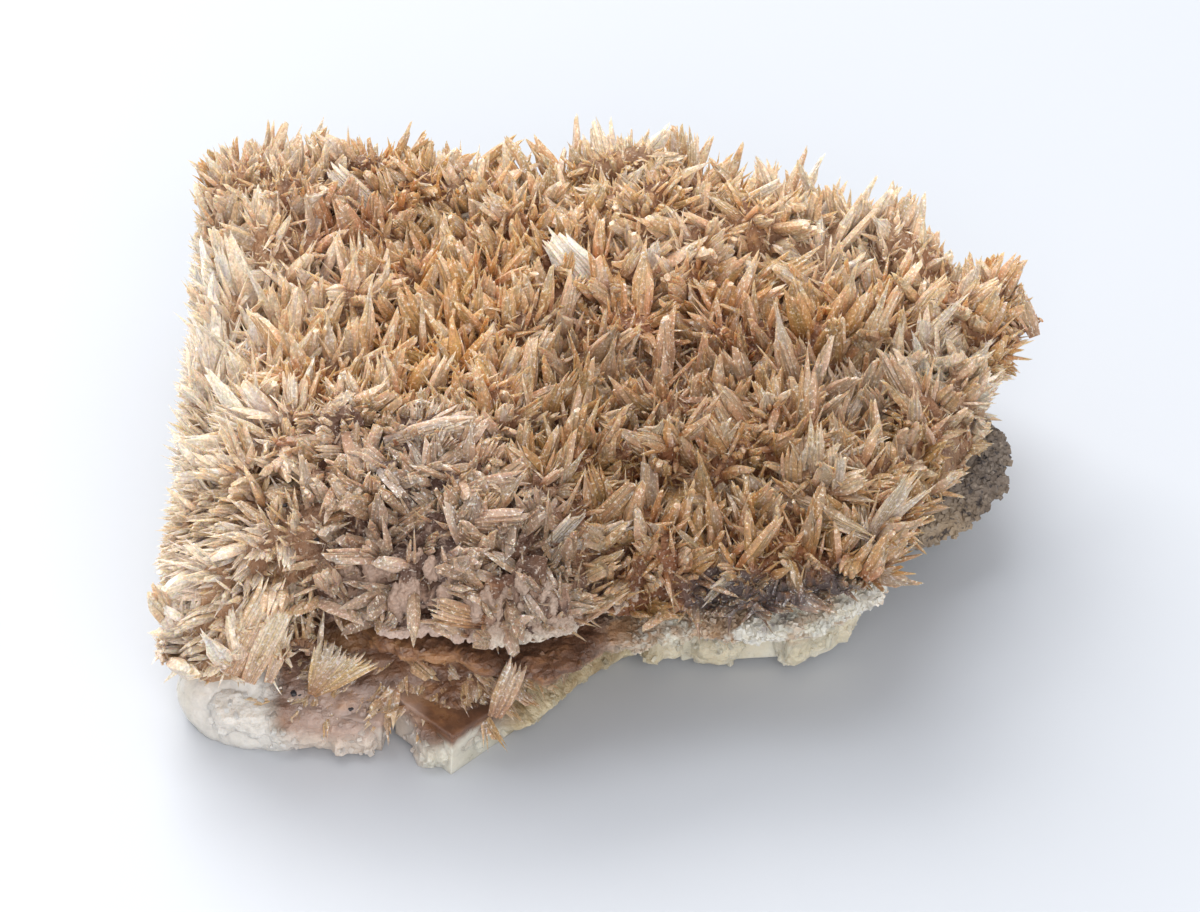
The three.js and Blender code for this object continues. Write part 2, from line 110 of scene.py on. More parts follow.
# ---- blades that stand out, mm: foot x, y, reach x, y, z, width, paleness, form --------------------
KNOWN_BLADES = [
    (2.7, -9.5, 1.5, 0, 4.2, 1.05, 0.5, "lance"), (4.5, -9.1, -0.1, 0, 2.8, 0.5, 0.6, "spear"),
    (6.2, -9.1, 0.9, 0, 2.8, 0.9, 0.4, "lance"), (6.4, -9.1, 1.5, 0.3, 2.5, 0.6, 0.5, "spear"),
    (11.5, -11.3, 0.3, 0, 4.1, 0.95, 0.8, "lance"), (12.9, -12.2, -0.2, 0, 4, 0.5, 0.7, "plank"),
    (13.1, -12.6, 0.3, 0, 4.5, 0.6, 0.7, "plank"), (13.5, -9.5, 2.4, 1, 0.6, 0.6, 0.5, "plank"),
    (17.6, -7.8, -1.6, 0.5, 0.7, 0.5, 0.5, "plank"), (15.1, -14.4, 3, 0.6, 4.5, 0.8, 0.6, "lance"),
    (15.1, -14.4, 1.7, 0.3, 3.6, 0.75, 0.6, "lance"), (15.2, -14.3, 3.4, 0.4, 3.1, 0.6, 0.6, "spear"),
    (14.9, -14.5, -0.3, 0.2, 3, 0.8, 0.5, "lance"), (10.2, -12.3, 5, -3, -0.9, 1.1, 0.4, "lance"),
    (7.5, -15.1, -1.7, -2.5, -1, 0.5, 1, "plank"), (8.3, -15.3, -2.2, -2.3, -1, 0.65, 0.9, "chisel"),
    (9.4, -6.8, -0.1, 0, 3.8, 1, 0.5, "lance"), (9.2, -1.7, 5.4, 0.6, 0.2, 0.75, 0.6, "plank"),
    (17.7, -6.7, -0.1, 0, 3.3, 0.8, 0.4, "lance"), (-0.7, 7.8, -3.3, 1.5, 3.8, 2.2, 1.5, "lance"),
    (-14, 15.2, -2.5, 1.5, 1.7, 1.1, 1, "plank"), (-8.9, 14, 5.1, 0.8, 1.1, 0.9, 1.2, "plank"),
    (1.6, 14, -3.3, 0, 0.5, 0.8, 0.6, "plank"), (7, 14.6, 1.3, 0.5, 1.8, 0.8, 0.7, "lance"),
    (8.5, 13.5, 2.1, 1, 0.5, 0.6, 0.7, "plank"), (11.7, 9, 2.7, 1, 1, 0.7, 0.7, "lance"),
    (-7.7, -6.5, -0.7, 0, 1.9, 0.4, 1, "spear"), (-11.5, -10.4, 4.4, 0.5, 1, 1.3, 0.4, "chisel"),
    (-3.1, -16.3, 1.9, 1, 1.8, 0.8, 1, "chisel"), (-5.1, -16.9, -2.6, 0.9, 0.8, 0.8, 1, "plank"),
    (-10, -14.4, 3, 0.8, 0.6, 0.9, 0.7, "chisel"), (-17.7, -12.6, -1, 0.7, 1.8, 0.6, 1, "spear"),
    (2.8, 9, 0.3, 0.5, 1.6, 0.7, 1, "chisel"), (-2.4, -16.8, 4.4, 1.2, 1.2, 0.7, 0.5, "plank"),
    (12.8, -13.9, 2, 0, -0.4, 0.9, 0.5, "plank"), (-22, -13.3, -3, 0.1, -1, 0.8, 0.8, "fan"),
    (-21.1, -15, -2.6, -0.2, -1.4, 0.8, 0.8, "fan"), (-22.4, -9.1, -2.6, 1, -0.6, 0.7, 0.8, "fan"),
    (19.6, 0.6, 3, 0.6, 2, 0.8, 0.8, "lance"), (20.2, 2.2, 2.8, 0.8, 2.4, 0.7, 0.8, "spear"),
    (18.8, 3.4, 2.2, 0.5, 2.6, 0.7, 0.7, "lance"),
]
# how much broader they are made than listed, and the share of their paleness that is taken
KNOWN_BROADER = 1.15
KNOWN_PALER = 0.6

# ---- blades that lean on the left end, mm: foot x, y, z, reach x, y, z, width, form ------------------
LEANING_BLADES = [
    (-20.9, -19.2, 5.5, 2.9, 1, 5.8, 1.9, "plank"), (-19.9, -19.5, 5.1, 2.2, 0.9, 4.9, 1.4, "plank"),
    (-21.9, -18.8, 5.7, 2.4, 1, 4.6, 1, "lance"), (-18.8, -19.2, 4.8, 1.3, 0.7, 3.4, 0.8, "chisel"),
]

# ---- the bed's own crystals: middle x, y, z and size x, y, z, mm, turn and tip, radians --------------
BED_CRYSTALS = [
    (-8.4, -18.2, 1.6, 5.2, 4.7, 3.1, 0.8, 0.06), (-14.2, -17.8, 1.6, 4.3, 3.5, 2.8, -0.24, 0.2),
    (-16.6, -18.2, 1.3, 2.8, 2.4, 2.2, 0.5, -0.15), (-14.9, -18.9, 0.9, 2, 1.6, 1.6, 0.1, 0.3),
    (-18.2, -18, 1, 1.8, 1.6, 1.8, 0.3, 0.4), (11.2, -11.6, 2.2, 2.8, 2.4, 2.6, 0.5, 0.3),
    (12.9, -11, 2.6, 2, 1.8, 2.2, 0.9, 0.15), (5.4, -11.3, 1.9, 2.2, 1.8, 2.4, 0.3, 0.2),
    (8.7, -11.3, 1.9, 3.8, 1.9, 2.5, 0.12, 0.05), (3.2, -11.2, 2.4, 1.7, 1.5, 2, 0.5, 0.2),
]
CRYSTAL_BEVEL = 0.09 * MM
# white lumps at the left end, melted into each other: middle x, y, z, radius, mm
WHITE_LUMPS = [
    (-20.9, -17.1, 1.1, 2.3), (-22.3, -15.8, 1.7, 2.1), (-19.7, -17.5, 1, 2.1), (-18.4, -18, 0.7, 1.9),
    (-21.6, -16.4, 1.6, 2.3), (-20.4, -16.2, 1.9, 2.3),
]
# loose grains: room between two, smallest and largest size
SUGAR = (0.3 * MM, 0.12 * MM, 0.4 * MM)
CRUMBS = (0.34 * MM, 0.14 * MM, 0.42 * MM)

# ---- beads on the crust's front edge, mm: x, lowest, how far up, bead radius, how many ---------------
BEADS = [
    (-14.8, 9.6, 0.6, 0.3, 8), (-13.8, 9.1, 0.7, 0.36, 8), (-12.7, 8.3, 0.7, 0.5, 7),
    (-11.8, 8, 0.8, 0.58, 6), (-10.7, 8, 0.8, 0.56, 6), (-9.6, 7.9, 0.8, 0.6, 6), (-8.6, 8, 0.8, 0.5, 7),
    (-7.6, 8.1, 0.8, 0.42, 8), (-6.6, 8, 1.8, 0.28, 40), (-5.7, 7.7, 2.1, 0.3, 50),
    (-4.8, 7.5, 2.3, 0.3, 54), (-3.9, 7.5, 2.3, 0.3, 54), (-3, 7.6, 2.2, 0.28, 50),
    (-2.1, 7.8, 2, 0.26, 46), (-1.3, 8.1, 1.7, 0.25, 36), (-0.4, 8.5, 1.3, 0.24, 28),
    (0.5, 8.9, 1, 0.22, 20), (1.3, 9.3, 0.7, 0.2, 14),
]
# knobs on the lump's front, above the beads, in the same way
KNOBS = [
    (-14.4, 10, 2, 0.42, 8), (-13.4, 9.6, 2.4, 0.5, 9), (-12.3, 9.9, 2.6, 0.5, 9),
    (-11.2, 10.1, 2.8, 0.55, 9), (-10.1, 10.1, 2.8, 0.5, 9), (-9, 10, 2.8, 0.55, 9), (-7.9, 10, 2.6, 0.5, 9),
    (-6.8, 10.3, 2.2, 0.45, 8), (-5.7, 10.4, 2.2, 0.4, 7), (-4.5, 10.4, 2.2, 0.4, 6),
    (-3.3, 10.4, 2, 0.4, 6),
]
# black specks, mm: x, y, radius
SPECKS = [
    (-17.4, -18.2, 0.34), (-17.1, -18.3, 0.2), (-14.2, -19.3, 0.2), (-17.8, -13.9, 0.2), (-16, -15.7, 0.22),
    (-12.6, -19.4, 0.14), (-9.5, -19.2, 0.13), (-10.6, -17.6, 0.16), (-15.6, -18, 0.12), (-7.6, -19.5, 0.12),
    (-21.5, -13.6, 0.14), (-3.4, -18.6, 0.13), (19.5, -3.4, 0.2), (21.4, -2.4, 0.16),
]
# where the rays that look for a surface start: a height over the floor, and a y in mm
ABOVE = 30 * MM
IN_FRONT = -40

# ---- the colours that go with those of the settings -------------------------------------------------
ROOT_CAVITY_SHADE = (0.09, 0.045, 0.03)
ROSY_BODY = (0.68, 0.38, 0.25)
BLADE_MINERAL_AND_SHADE = (0.19, 0.15, 0.15)
BLADE_PAINTED_GLINT = (0.96, 0.9, 0.82)
FELT_DARK = (0.12, 0.042, 0.015)
FELT_LIGHT = (0.21, 0.078, 0.026)
FELT_RED = (0.26, 0.1, 0.055)
FELT_PALE_AND_BACKLIT = (0.66, 0.45, 0.28)
FELT_GREY = (0.07, 0.038, 0.03)
FELT_RIB = (0.38, 0.24, 0.17)
FELT_CREASE_SHADE = (0.1, 0.045, 0.025)
FELT_MINERAL_AND_SHADE = (0.1, 0.08, 0.078)
FELT_PAINTED_GLINT = (0.85, 0.76, 0.66)
MILK = (0.74, 0.69, 0.63)
SMOKY = (0.58, 0.54, 0.42)
PINKISH = (0.66, 0.5, 0.43)
BROWN_PATCH = (0.36, 0.2, 0.1)
PURPLE = (0.2, 0.14, 0.14)
PAINTED_HOLLOW_SHADOW = (0.06, 0.045, 0.035)
TAN_DARK = (0.1, 0.032, 0.01)
TAN_LIGHT = (0.25, 0.1, 0.038)
TAN_PINK = (0.44, 0.25, 0.155)
TAN_INNER = (0.24, 0.105, 0.055)
WALL_DARK = (0.32, 0.22, 0.1)
WALL_LIGHT = (0.58, 0.48, 0.3)
UNDER_PALE = (0.66, 0.62, 0.52)
UNDER_BROWN = (0.5, 0.43, 0.3)
ROCK_RUST = (0.33, 0.25, 0.17)
ROCK_TOP = (0.18, 0.145, 0.12)
ROCK_PALE = (0.34, 0.28, 0.225)
ROCK_PIT = (0.045, 0.038, 0.04)
BEAD_LEFT = (0.62, 0.47, 0.39)
BEAD_RIGHT = (0.64, 0.57, 0.48)
BEAD_PINK = (0.44, 0.3, 0.23)
BEAD_BROWN = (0.35, 0.235, 0.175)
SPECK_DARK = (0.012, 0.011, 0.012)
SPECK_LIGHT = (0.05, 0.045, 0.05)

# ---- the stage: half the floor's side, m, and the camera's sensor, mm ---------------------------------
FLOOR_HALF = 1.5
SENSOR = 36
# area lamps: name, place and size, m, power, W, colour
LAMPS = [
    ("window", (-0.44, 0.66, 0.65), 0.8, 10.8, (1, 0.985, 0.965)),
    ("overhead", (-0.1, 0.1, 0.95), 0.5, 3.0, (0.97, 0.985, 1)),
    ("front fill", (0.15, -0.9, 0.5), 0.8, 7.5, (1, 0.98, 0.96)),
]
ROOM_COLOUR = (0.93, 0.96, 1, 1)
ROOM_LIGHT = 0.66


# ---- settings ------------------------------------------------------------------------------------
def length(name, description, mm):
    """A length that a user can change, given in mm."""
    return bpy.props.FloatProperty(name=name, description=description, default=mm * MM, unit="LENGTH")


def tint(name, description, colour):
    """A colour that a user can change."""
    return bpy.props.FloatVectorProperty(
        name=name, description=description, subtype="COLOR", size=3, default=colour)


class BladeSizes(bpy.types.PropertyGroup):
    longest: length("Longest blade", "Longest of the common blades outside the mat", 4.5)
    shortest: length("Shortest blade", "Shortest of the common blades outside the mat", 1.5)
    widest: length("Widest blade", "Widest of the common blades", 1.65)
    narrowest: length("Narrowest blade", "Narrowest of the common blades", 0.6)
    spacing: length("Blade spacing", "Usual room between two blades' feet", 1.34)
    lath_spacing: length("Lath spacing", "Usual room between the thin laths", 0.95)
    felt_spacing: length("Felt spacing", "Usual room between the short laths of the felt", 0.52)
    spray: length("Spray size", "Usual room between the hearts that the blades radiate from", 4.6)
    sunk: length("Mat depth", "How far the felted mat lies below the solid's own level", 0.8)
    spread: length("Mat spread", "How far the mat's walls stand out past its melted skin", 0.5)
    seed: bpy.props.IntProperty(name="Seed", description="Start of the random run", default=11)


class Colours(bpy.types.PropertyGroup):
    # the root colour is partly the blades' own deeper orange brown and partly painted shade deep between them
    root: tint("Blade root", "Colour deep between the blades", (0.42, 0.155, 0.048))
    body: tint("Blade body", "Colour half way up a blade", (0.73, 0.42, 0.18))
    tip: tint("Blade tip", "Colour of a blade's tip", (0.88, 0.72, 0.52))
    red: tint("Reddish blades", "Colour of the reddish patches", (0.5, 0.235, 0.13))
    grey: tint("Weathered blades", "Colour of the weathered lump", (0.44, 0.32, 0.255))
    # the pale colour stands partly for pale blades and partly for painted light on the backlit ends
    pale: tint("Pale blades", "Colour of the pale ends", (1, 0.88, 0.74))
    quartz: tint("Quartz", "Colour of the clean quartz", (0.72, 0.67, 0.57))
    stain: tint("Stain", "Orange-brown stain on the quartz", (0.42, 0.22, 0.1))
    rock: tint("Rock", "Colour of the dark rock", (0.16, 0.12, 0.09))


class StageSizes(bpy.types.PropertyGroup):
    distance: length("Camera distance", "From the camera to the point that it looks at", 300)
    elevation: bpy.props.FloatProperty(
        name="Camera elevation", description="How far the camera looks down", default=math.radians(38),
        subtype="ANGLE")
    lens: bpy.props.FloatProperty(
        name="Lens", description="Focal length on a 36 mm sensor, mm", default=154.8)
    aim: bpy.props.FloatVectorProperty(
        name="Aim", description="Point that the camera looks at", subtype="XYZ", unit="LENGTH",
        default=(-0.2 * MM, -2.95 * MM, 8.2 * MM))
    floor: tint("Floor", "Colour of the floor", (0.515, 0.535, 0.573))


# ---- shader sums -----------------------------------------------------------------------------------
class Wire:
    """An output socket of a material, so that a pattern can be written as an expression."""

    def __init__(self, tree, socket):
        self.tree, self.socket = tree, socket

    def sum(self, operation, *terms):
        """A math node with these terms, each a number or a wire."""
        node = self.tree.nodes.new("ShaderNodeMath")
        node.operation = operation
        for place, term in zip(node.inputs, terms):
            if isinstance(term, Wire):
                self.tree.links.new(term.socket, place)
            else:
                place.default_value = term
        return Wire(self.tree, node.outputs[0])

    def __add__(self, other):
        return self.sum("ADD", self, other)

    def __sub__(self, other):
        return self.sum("SUBTRACT", self, other)

    def __rsub__(self, other):
        return self.sum("SUBTRACT", other, self)

    def __mul__(self, other):
        return self.sum("MULTIPLY", self, other)

    def __truediv__(self, other):
        return self.sum("DIVIDE", self, other)

    __radd__ = __add__
    __rmul__ = __mul__

    def rise(self, low, high):
        """0 below low and 1 above high, eased between them. With low above high it falls instead."""
        node = self.tree.nodes.new("ShaderNodeMapRange")
        node.interpolation_type = "SMOOTHSTEP"
        self.tree.links.new(self.socket, node.inputs["Value"])
        node.inputs["From Min"].default_value = min(low, high)
        node.inputs["From Max"].default_value = max(low, high)
        eased_in = Wire(self.tree, node.outputs[0])
        return 1 - eased_in if low > high else eased_in


class Finish:
    """A material under construction."""

    def __init__(self, name):
        self.material = bpy.data.materials.new(name)
        self.material.use_nodes = True
        self.tree = self.material.node_tree
        self.tree.nodes.clear()
        self.place = self.node("ShaderNodeTexCoord", output="Object")

    def node(self, kind, settings=None, inputs=None, output=0):
        """Any node: its settings, its inputs as values or wires, and the output that is wanted."""
        made = self.tree.nodes.new(kind)
        for key, value in (settings or {}).items():
            setattr(made, key, value)
        for key, value in (inputs or {}).items():
            if isinstance(value, Wire):
                self.tree.links.new(value.socket, made.inputs[key])
            else:
                made.inputs[key].default_value = value
        return Wire(self.tree, made.outputs[output])

    def mix(self, share, low, high):
        """Between two colours, each a colour of three numbers or a wire."""
        low, high = (c if isinstance(c, Wire) else (*c, 1) for c in (low, high))
        # a mix node's colours are its inputs 6 and 7, and the mixed one is its output 2
        return self.node("ShaderNodeMix", {"data_type": "RGBA"}, {0: share, 6: low, 7: high}, 2)

    def layered(self, colour, *layers):
        """A colour with others laid over it in turn, each given as its share and its colour."""
        for share, over in layers:
            colour = self.mix(share, colour, over)
        return colour

    def shaded(self, colour, value, saturation=1):
        """A colour made lighter or darker, and stronger or weaker."""
        inputs = {"Color": colour, "Value": value, "Saturation": saturation}
        return self.node("ShaderNodeHueSaturation", None, inputs)

    def stretched(self, place, scale):
        """A place scaled by another number along each axis."""
        return self.node("ShaderNodeMapping", None, {"Vector": place, "Scale": scale})

    def noise(self, place, scale, detail=3.0, roughness=0.55):
        """Soft noise from about 0.2 to 0.8, around 0.5."""
        inputs = {"Vector": place, "Scale": scale, "Detail": detail, "Roughness": roughness}
        return self.node("ShaderNodeTexNoise", None, inputs)

    def attribute(self, name, output="Fac"):
        """What noted() keeps on a mesh's points."""
        return self.node("ShaderNodeAttribute", {"attribute_name": name}, output=output)

    def parts(self, wire):
        """The three numbers of a vector or colour."""
        node = self.tree.nodes.new("ShaderNodeSeparateXYZ")
        self.tree.links.new(wire.socket, node.inputs[0])
        return [Wire(self.tree, out) for out in node.outputs]

    def in_mm(self):
        """The place on the specimen as x, y and z in mm."""
        return [part / MM for part in self.parts(self.place)]

    def bump(self, height, distance):
        """A normal for a height; distance is what a height of one stands for."""
        return self.node("ShaderNodeBump", None, {"Height": height, "Distance": distance})

    def done(self, inputs):
        """The material with a shader of these inputs."""
        shader = self.node("ShaderNodeBsdfPrincipled", None, inputs)
        surface = self.tree.nodes.new("ShaderNodeOutputMaterial").inputs["Surface"]
        self.tree.links.new(shader.socket, surface)
        return self.material


def mineral_and_shade_band(x, y, z, cloud):
    """Where the dark mineral lies under the crust's front edge, together with painted shade in that recess.
    """
    along_edge = (x + (cloud - 0.5) * 4).rise(3.2, 5.5) * x.rise(15.6, 13.8)
    return along_edge * (z + (cloud - 0.5) * 3).rise(11, 9.4) * y.rise(-11.5, -13.5)


def inesite_finish(colours, name):
    """Silky striated blades: orange brown at the root, where its darkness is partly painted shade between the
    blades, tan above it, paler at the tip.
    """
    f = Finish(name)
    x, y, z = f.in_mm()
    along, tone = f.attribute("along"), f.attribute("tone")
    red, grey, pale = f.parts(f.attribute("patch", "Vector"))
    grain = f.node("ShaderNodeUVMap", {"uv_map": "Grain"})
    streak = f.noise(f.stretched(grain, (7.5, 0.5, 1)), 1, 3, 0.7)
    blotch = f.noise(f.stretched(grain, (1.6, 0.8, 1)), 1, 2)
    cloud = f.noise(f.place, 420, 1)
    frost = f.noise(f.place, 5200, 2, 0.7)
    # painted shade: the blades along the front right are darkened, with weaker tips and glints, as on the
    # side turned away from the main light
    darker = y.rise(6, -2) * x.rise(-7, -2)
    lump_front = y.rise(-15, -17) * x.rise(-17, -15) * x.rise(0, -2) * z.rise(6, 7.5)
    grey = grey + (1 - grey) * lump_front * 0.6
    # towards the root the colour darkens, partly as painted shade between the blades
    depth = (along + (blotch - 0.5) * 0.5).rise(-0.05, 0.55)
    tip = (along + (tone - 0.5) * 0.6 + (blotch - 0.5) * 0.4).rise(0.45, 1.15)
    # on the lump the roots go nearly black: painted shade in the cavities between the stubs
    root = f.mix(grey * 0.9, colours.root, ROOT_CAVITY_SHADE)
    body = f.mix(tone.rise(0.35, 0.75) * 0.7, colours.body, ROSY_BODY)
    # the pale layer and its lift of the shade below are partly pale blades and partly painted light on the
    # backlit ends
    colour = f.layered(
        f.mix(depth, root, body),
        (tip * (0.6 - darker * 0.15), colours.tip),
        (red * (1 - tip * 0.5) * 0.75, colours.red),
        (pale * (0.8 + depth * 0.2), colours.pale),
        (grey * (0.3 + depth * 0.5), colours.grey),
        # dark mineral and painted shade under the crust's front edge
        (mineral_and_shade_band(x, y, z, cloud) * (0.88 - tip * 0.5), BLADE_MINERAL_AND_SHADE))
    shade = 0.7 + tone * 0.32 + (streak - 0.5) * 0.8 + (frost - 0.5) * 1.3
    shade = (shade + grey * (tone - 0.6) * 0.5 + pale * 0.14) * (0.98 - darker * 0.3)
    # painted glints: tiny specks of the blades whitened as highlights, most of them near the tips
    painted_glint = frost.rise(0.59, 0.63) * (0.45 + along * 0.5)
    return f.done({
        "Base Color": f.mix(painted_glint * (0.8 - darker * 0.25), f.shaded(colour, shade, 1.08), BLADE_PAINTED_GLINT),
        "Roughness": 0.36 + streak * 0.2 - painted_glint * 0.3, "Normal": f.bump(streak * 0.7 + frost, 0.06 * MM),
        "IOR": 1.6, "Subsurface Weight": 0.4, "Subsurface Radius": (1, 0.5, 0.2),
        "Subsurface Scale": 0.7 * MM, "Coat Weight": 0.3, "Coat Roughness": 0.22,
    })


def mat_finish(colours):
    """The felted ground between the blades, ribbed on the lump's front; its dark browns are partly painted
    shade between the blades.
    """
    f = Finish("inesite_mat")
    x, y, z = f.in_mm()
    red, grey, pale = f.parts(f.attribute("patch", "Vector"))
    fibre = f.noise(f.stretched(f.place, (1500, 1500, 500)), 1, 3, 0.65)
    ribs = f.noise(f.stretched(f.place, (1300, 1300, 330)), 1, 2, 0.6)
    fine = f.noise(f.place, 5200, 1, 0.6)
    blotch = f.noise(f.place, 260, 3)
    lump_front = y.rise(-14, -16) * x.rise(-17, -15) * x.rise(1, -1) * z.rise(12, 10.5)
    # painted glints: tiny specks of the mat whitened as highlights
    painted_glint = fine.rise(0.62, 0.7)
    colour = f.layered(
        # the mat's dark browns, partly painted shade deep between the blades
        f.mix(blotch.rise(0.35, 0.65), FELT_DARK, FELT_LIGHT),
        (fibre.rise(0.52, 0.72) * 0.4, colours.body),
        (red * 0.5, FELT_RED),
        # partly pale mat and partly painted light on the backlit ends
        (pale * 0.75, FELT_PALE_AND_BACKLIT),
        (grey * 0.9, f.mix(fibre.rise(0.48, 0.72), FELT_GREY, colours.grey)),
        (lump_front * 0.85, f.mix(ribs.rise(0.42, 0.6), FELT_GREY, FELT_RIB)),
        # painted shade in the creases, by how deep each one cuts
        (f.attribute("deep") * 0.9, FELT_CREASE_SHADE),
        # dark mineral and painted shade under the crust's front edge
        (mineral_and_shade_band(x, y, z, blotch) * (0.9 - fibre.rise(0.5, 0.7) * 0.6), FELT_MINERAL_AND_SHADE),
        (painted_glint * 0.35, FELT_PAINTED_GLINT))
    return f.done({
        "Base Color": colour, "Roughness": 0.55 + fibre * 0.2 - painted_glint * 0.3,
        "Normal": f.bump(fibre + fine * 0.4 + ribs * lump_front * 1.5, 0.35 * MM),
    })


def quartz_finish(colours, name, crystals=False):
    """Milky quartz and calcite with orange-brown stain, which is deepest along the front's shelf, darkened
    there partly as painted shade under the lump.
    """
    f = Finish(name)
    x, y, z = f.in_mm()
    cloud = f.noise(f.place, 180, 4, 0.6)
    fine = f.noise(f.place, 1100, 4, 0.65)
    sugar = f.noise(f.place, 4200, 2, 0.6)
    veins = f.noise(f.stretched(f.place, (300, 300, 900)), 1, 4, 0.65)
    white_end = x.rise(-16, -18) * z.rise(5.5, 4)
    front = y.rise(-4, -9)
    # the shelf at the front left is stained down to its foot and darkened as painted shade under the lump
    # above it, with a pinkish part near its left end
    shelf = front * x.rise(3.5, -1) * x.rise(-19.4, -17.8)
    shelf = shelf * (z + (cloud - 0.5) * 2.6).rise(1.8 if crystals else 1.1, 2.5)
    tan = f.layered(
        f.mix(veins.rise(0.38, 0.62), TAN_DARK, TAN_LIGHT),
        (cloud.rise(0.55, 0.66) * 0.5, TAN_PINK),
        (y.rise(-18.4, -16) * 0.55, TAN_INNER))
    pinkish = front * x.rise(-9.6, -11) * x.rise(-18.5, -17) * z.rise(4.2, 3.2)
    # the wall right of the shelf, the bed under the right ledge, and a painted shadow in the hollow between
    # the two
    wall = front * (x + (cloud - 0.5) * 3).rise(-6.5, -4.5) * x.rise(5.5, 3.5) * z.rise(6.2, 5)
    under = x.rise(1, 3) * z.rise(5.2, 4.4)
    hollow_shadow = front * x.rise(3.4, 4.6) * x.rise(7.6, 6.2) * z.rise(6, 5.2) * z.rise(3.4, 4.2)
    brown = f.noise(f.place, 250, 3).rise(0.5, 0.58) * z.rise(4.8, 6) * x.rise(2, 4)
    stain = veins.rise(0.5, 0.64) * z.rise(1.8, 4) * x.rise(-19.4, -17.8)
    purple = f.noise(f.place, 640, 3).rise(0.58, 0.68) * z.rise(4.6, 6) * x.rise(1, 4)
    colour = f.layered(
        f.mix(white_end, colours.quartz, MILK),
        (cloud.rise(0.35, 0.75), SMOKY),
        (shelf * 0.95, tan),
        (pinkish * 0.55, PINKISH),
        (wall * 0.85, f.mix(veins.rise(0.3, 0.65), WALL_DARK, WALL_LIGHT)),
        (under * 0.75, f.mix(cloud.rise(0.35, 0.65), UNDER_PALE, UNDER_BROWN)),
        (brown * 0.8, BROWN_PATCH),
        (stain * 0.75, colours.stain),
        (purple * 0.75, PURPLE),
        (hollow_shadow * 0.9, PAINTED_HOLLOW_SHADOW))
    shade = 0.58 + fine * 0.42 + sugar * 0.22 + x.rise(1.5, 4) * 0.24
    height = fine * 0.4 + sugar * 0.15 if crystals else fine * 1.3 + veins + sugar * 0.5
    return f.done({
        "Base Color": f.shaded(colour, shade), "Roughness": (0.16 if crystals else 0.3) + fine * 0.3,
        "Normal": f.bump(height, 0.16 * MM), "IOR": 1.54, "Subsurface Weight": 0.5,
        "Subsurface Radius": (1, 0.85, 0.7), "Subsurface Scale": 1.4 * MM,
    })


def rock_finish(colours):
    """Dull dark brown-grey rock, greyish and granular on top, with rusty and pale grains."""
    f = Finish("dark_rock")
    z = f.in_mm()[2]
    cloud = f.noise(f.place, 320, 4, 0.65)
    fine = f.noise(f.place, 1900, 3, 0.6)
    top = (z + (cloud - 0.5) * 2.4).rise(5.4, 6.4)
    colour = f.layered(
        f.mix(cloud.rise(0.35, 0.65), colours.rock, ROCK_RUST),
        (top * 0.85, ROCK_TOP),
        (fine.rise(0.57, 0.66) * 0.75, ROCK_PALE),
        (fine.rise(0.45, 0.36) * 0.85, ROCK_PIT))
    normal = f.bump(cloud * 2 + fine, 0.2 * MM)
    return f.done({"Base Color": colour, "Roughness": 0.72 + fine * 0.15, "Normal": normal})


def bead_finish():
    """White-pink beaded skin, browner towards its top."""
    f = Finish("beaded_skin")
    x, _, z = f.in_mm()
    cloud = f.noise(f.place, 700, 3, 0.6)
    sugar = f.noise(f.place, 4600, 2, 0.6)
    colour = f.layered(
        f.mix(x.rise(-7.5, -6), BEAD_LEFT, BEAD_RIGHT),
        (cloud.rise(0.45, 0.62) * 0.6, BEAD_PINK),
        (z.rise(8.2, 9.6) * 0.8, BEAD_BROWN))
    return f.done({
        "Base Color": f.shaded(colour, 0.62 + sugar * 0.76), "Roughness": 0.4 + sugar * 0.3,
        "Normal": f.bump(cloud * 0.6 + sugar, 0.12 * MM), "IOR": 1.54, "Subsurface Weight": 0.2,
        "Subsurface Radius": (1, 0.8, 0.65), "Subsurface Scale": 0.8 * MM,
    })


def speck_finish():
    """Black mineral grains with a dull shine."""
    f = Finish("black_specks")
    fine = f.noise(f.place, 6000, 3, 0.6)
    colour = f.mix(fine, SPECK_DARK, SPECK_LIGHT)
    return f.done({"Base Color": colour, "Roughness": 0.3 + fine * 0.3, "Normal": f.bump(fine, 0.04 * MM)})


# ---- shapes ----------------------------------------------------------------------------------------
def solid(node):
    """The mesh of one of the frame's solids."""
    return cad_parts[node].data


def linked(name, data):
    """A new object in the scene."""
    made = bpy.data.objects.new(name, data)
    bpy.context.scene.collection.objects.link(made)
    return made


def numbers(items, key, width):
    """A property of all the items of a mesh, one row each."""
    found = np.empty(len(items) * width, np.float32)
    items.foreach_get(key, found)
    return found.reshape(-1, width)


def moved(mesh, points):
    """The mesh with its points at these places."""
    mesh.vertices.foreach_set("co", points.astype(np.float32).ravel())
    mesh.update()
    return mesh


def noted(mesh, key, values):
    """Keeps a number or a vector on each of a mesh's points, for its material to read."""
    kind, field = ("FLOAT", "value") if values.ndim == 1 else ("FLOAT_VECTOR", "vector")
    mesh.attributes.new(key, kind, "POINT").data.foreach_set(field, values.astype(np.float32).ravel())


def add_piece(name, mesh, material):
    """A finished piece at the origin that rides on the specimen and keeps close to its solids' box."""
    low, high = np.array(CAD_BOX)
    room = (high - low) * PAST_BOX
    moved(mesh, np.clip(numbers(mesh.vertices, "co", 3), low - room * (1, 1, 0), high + room))
    piece = linked(name, mesh)
    mesh.materials.clear()
    mesh.materials.append(material)
    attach(piece, BODY)
    return piece


def as_mesh(bm, name):
    """A finished bmesh as a mesh."""
    mesh = bpy.data.meshes.new(name)
    bm.to_mesh(mesh)
    bm.free()
    return mesh


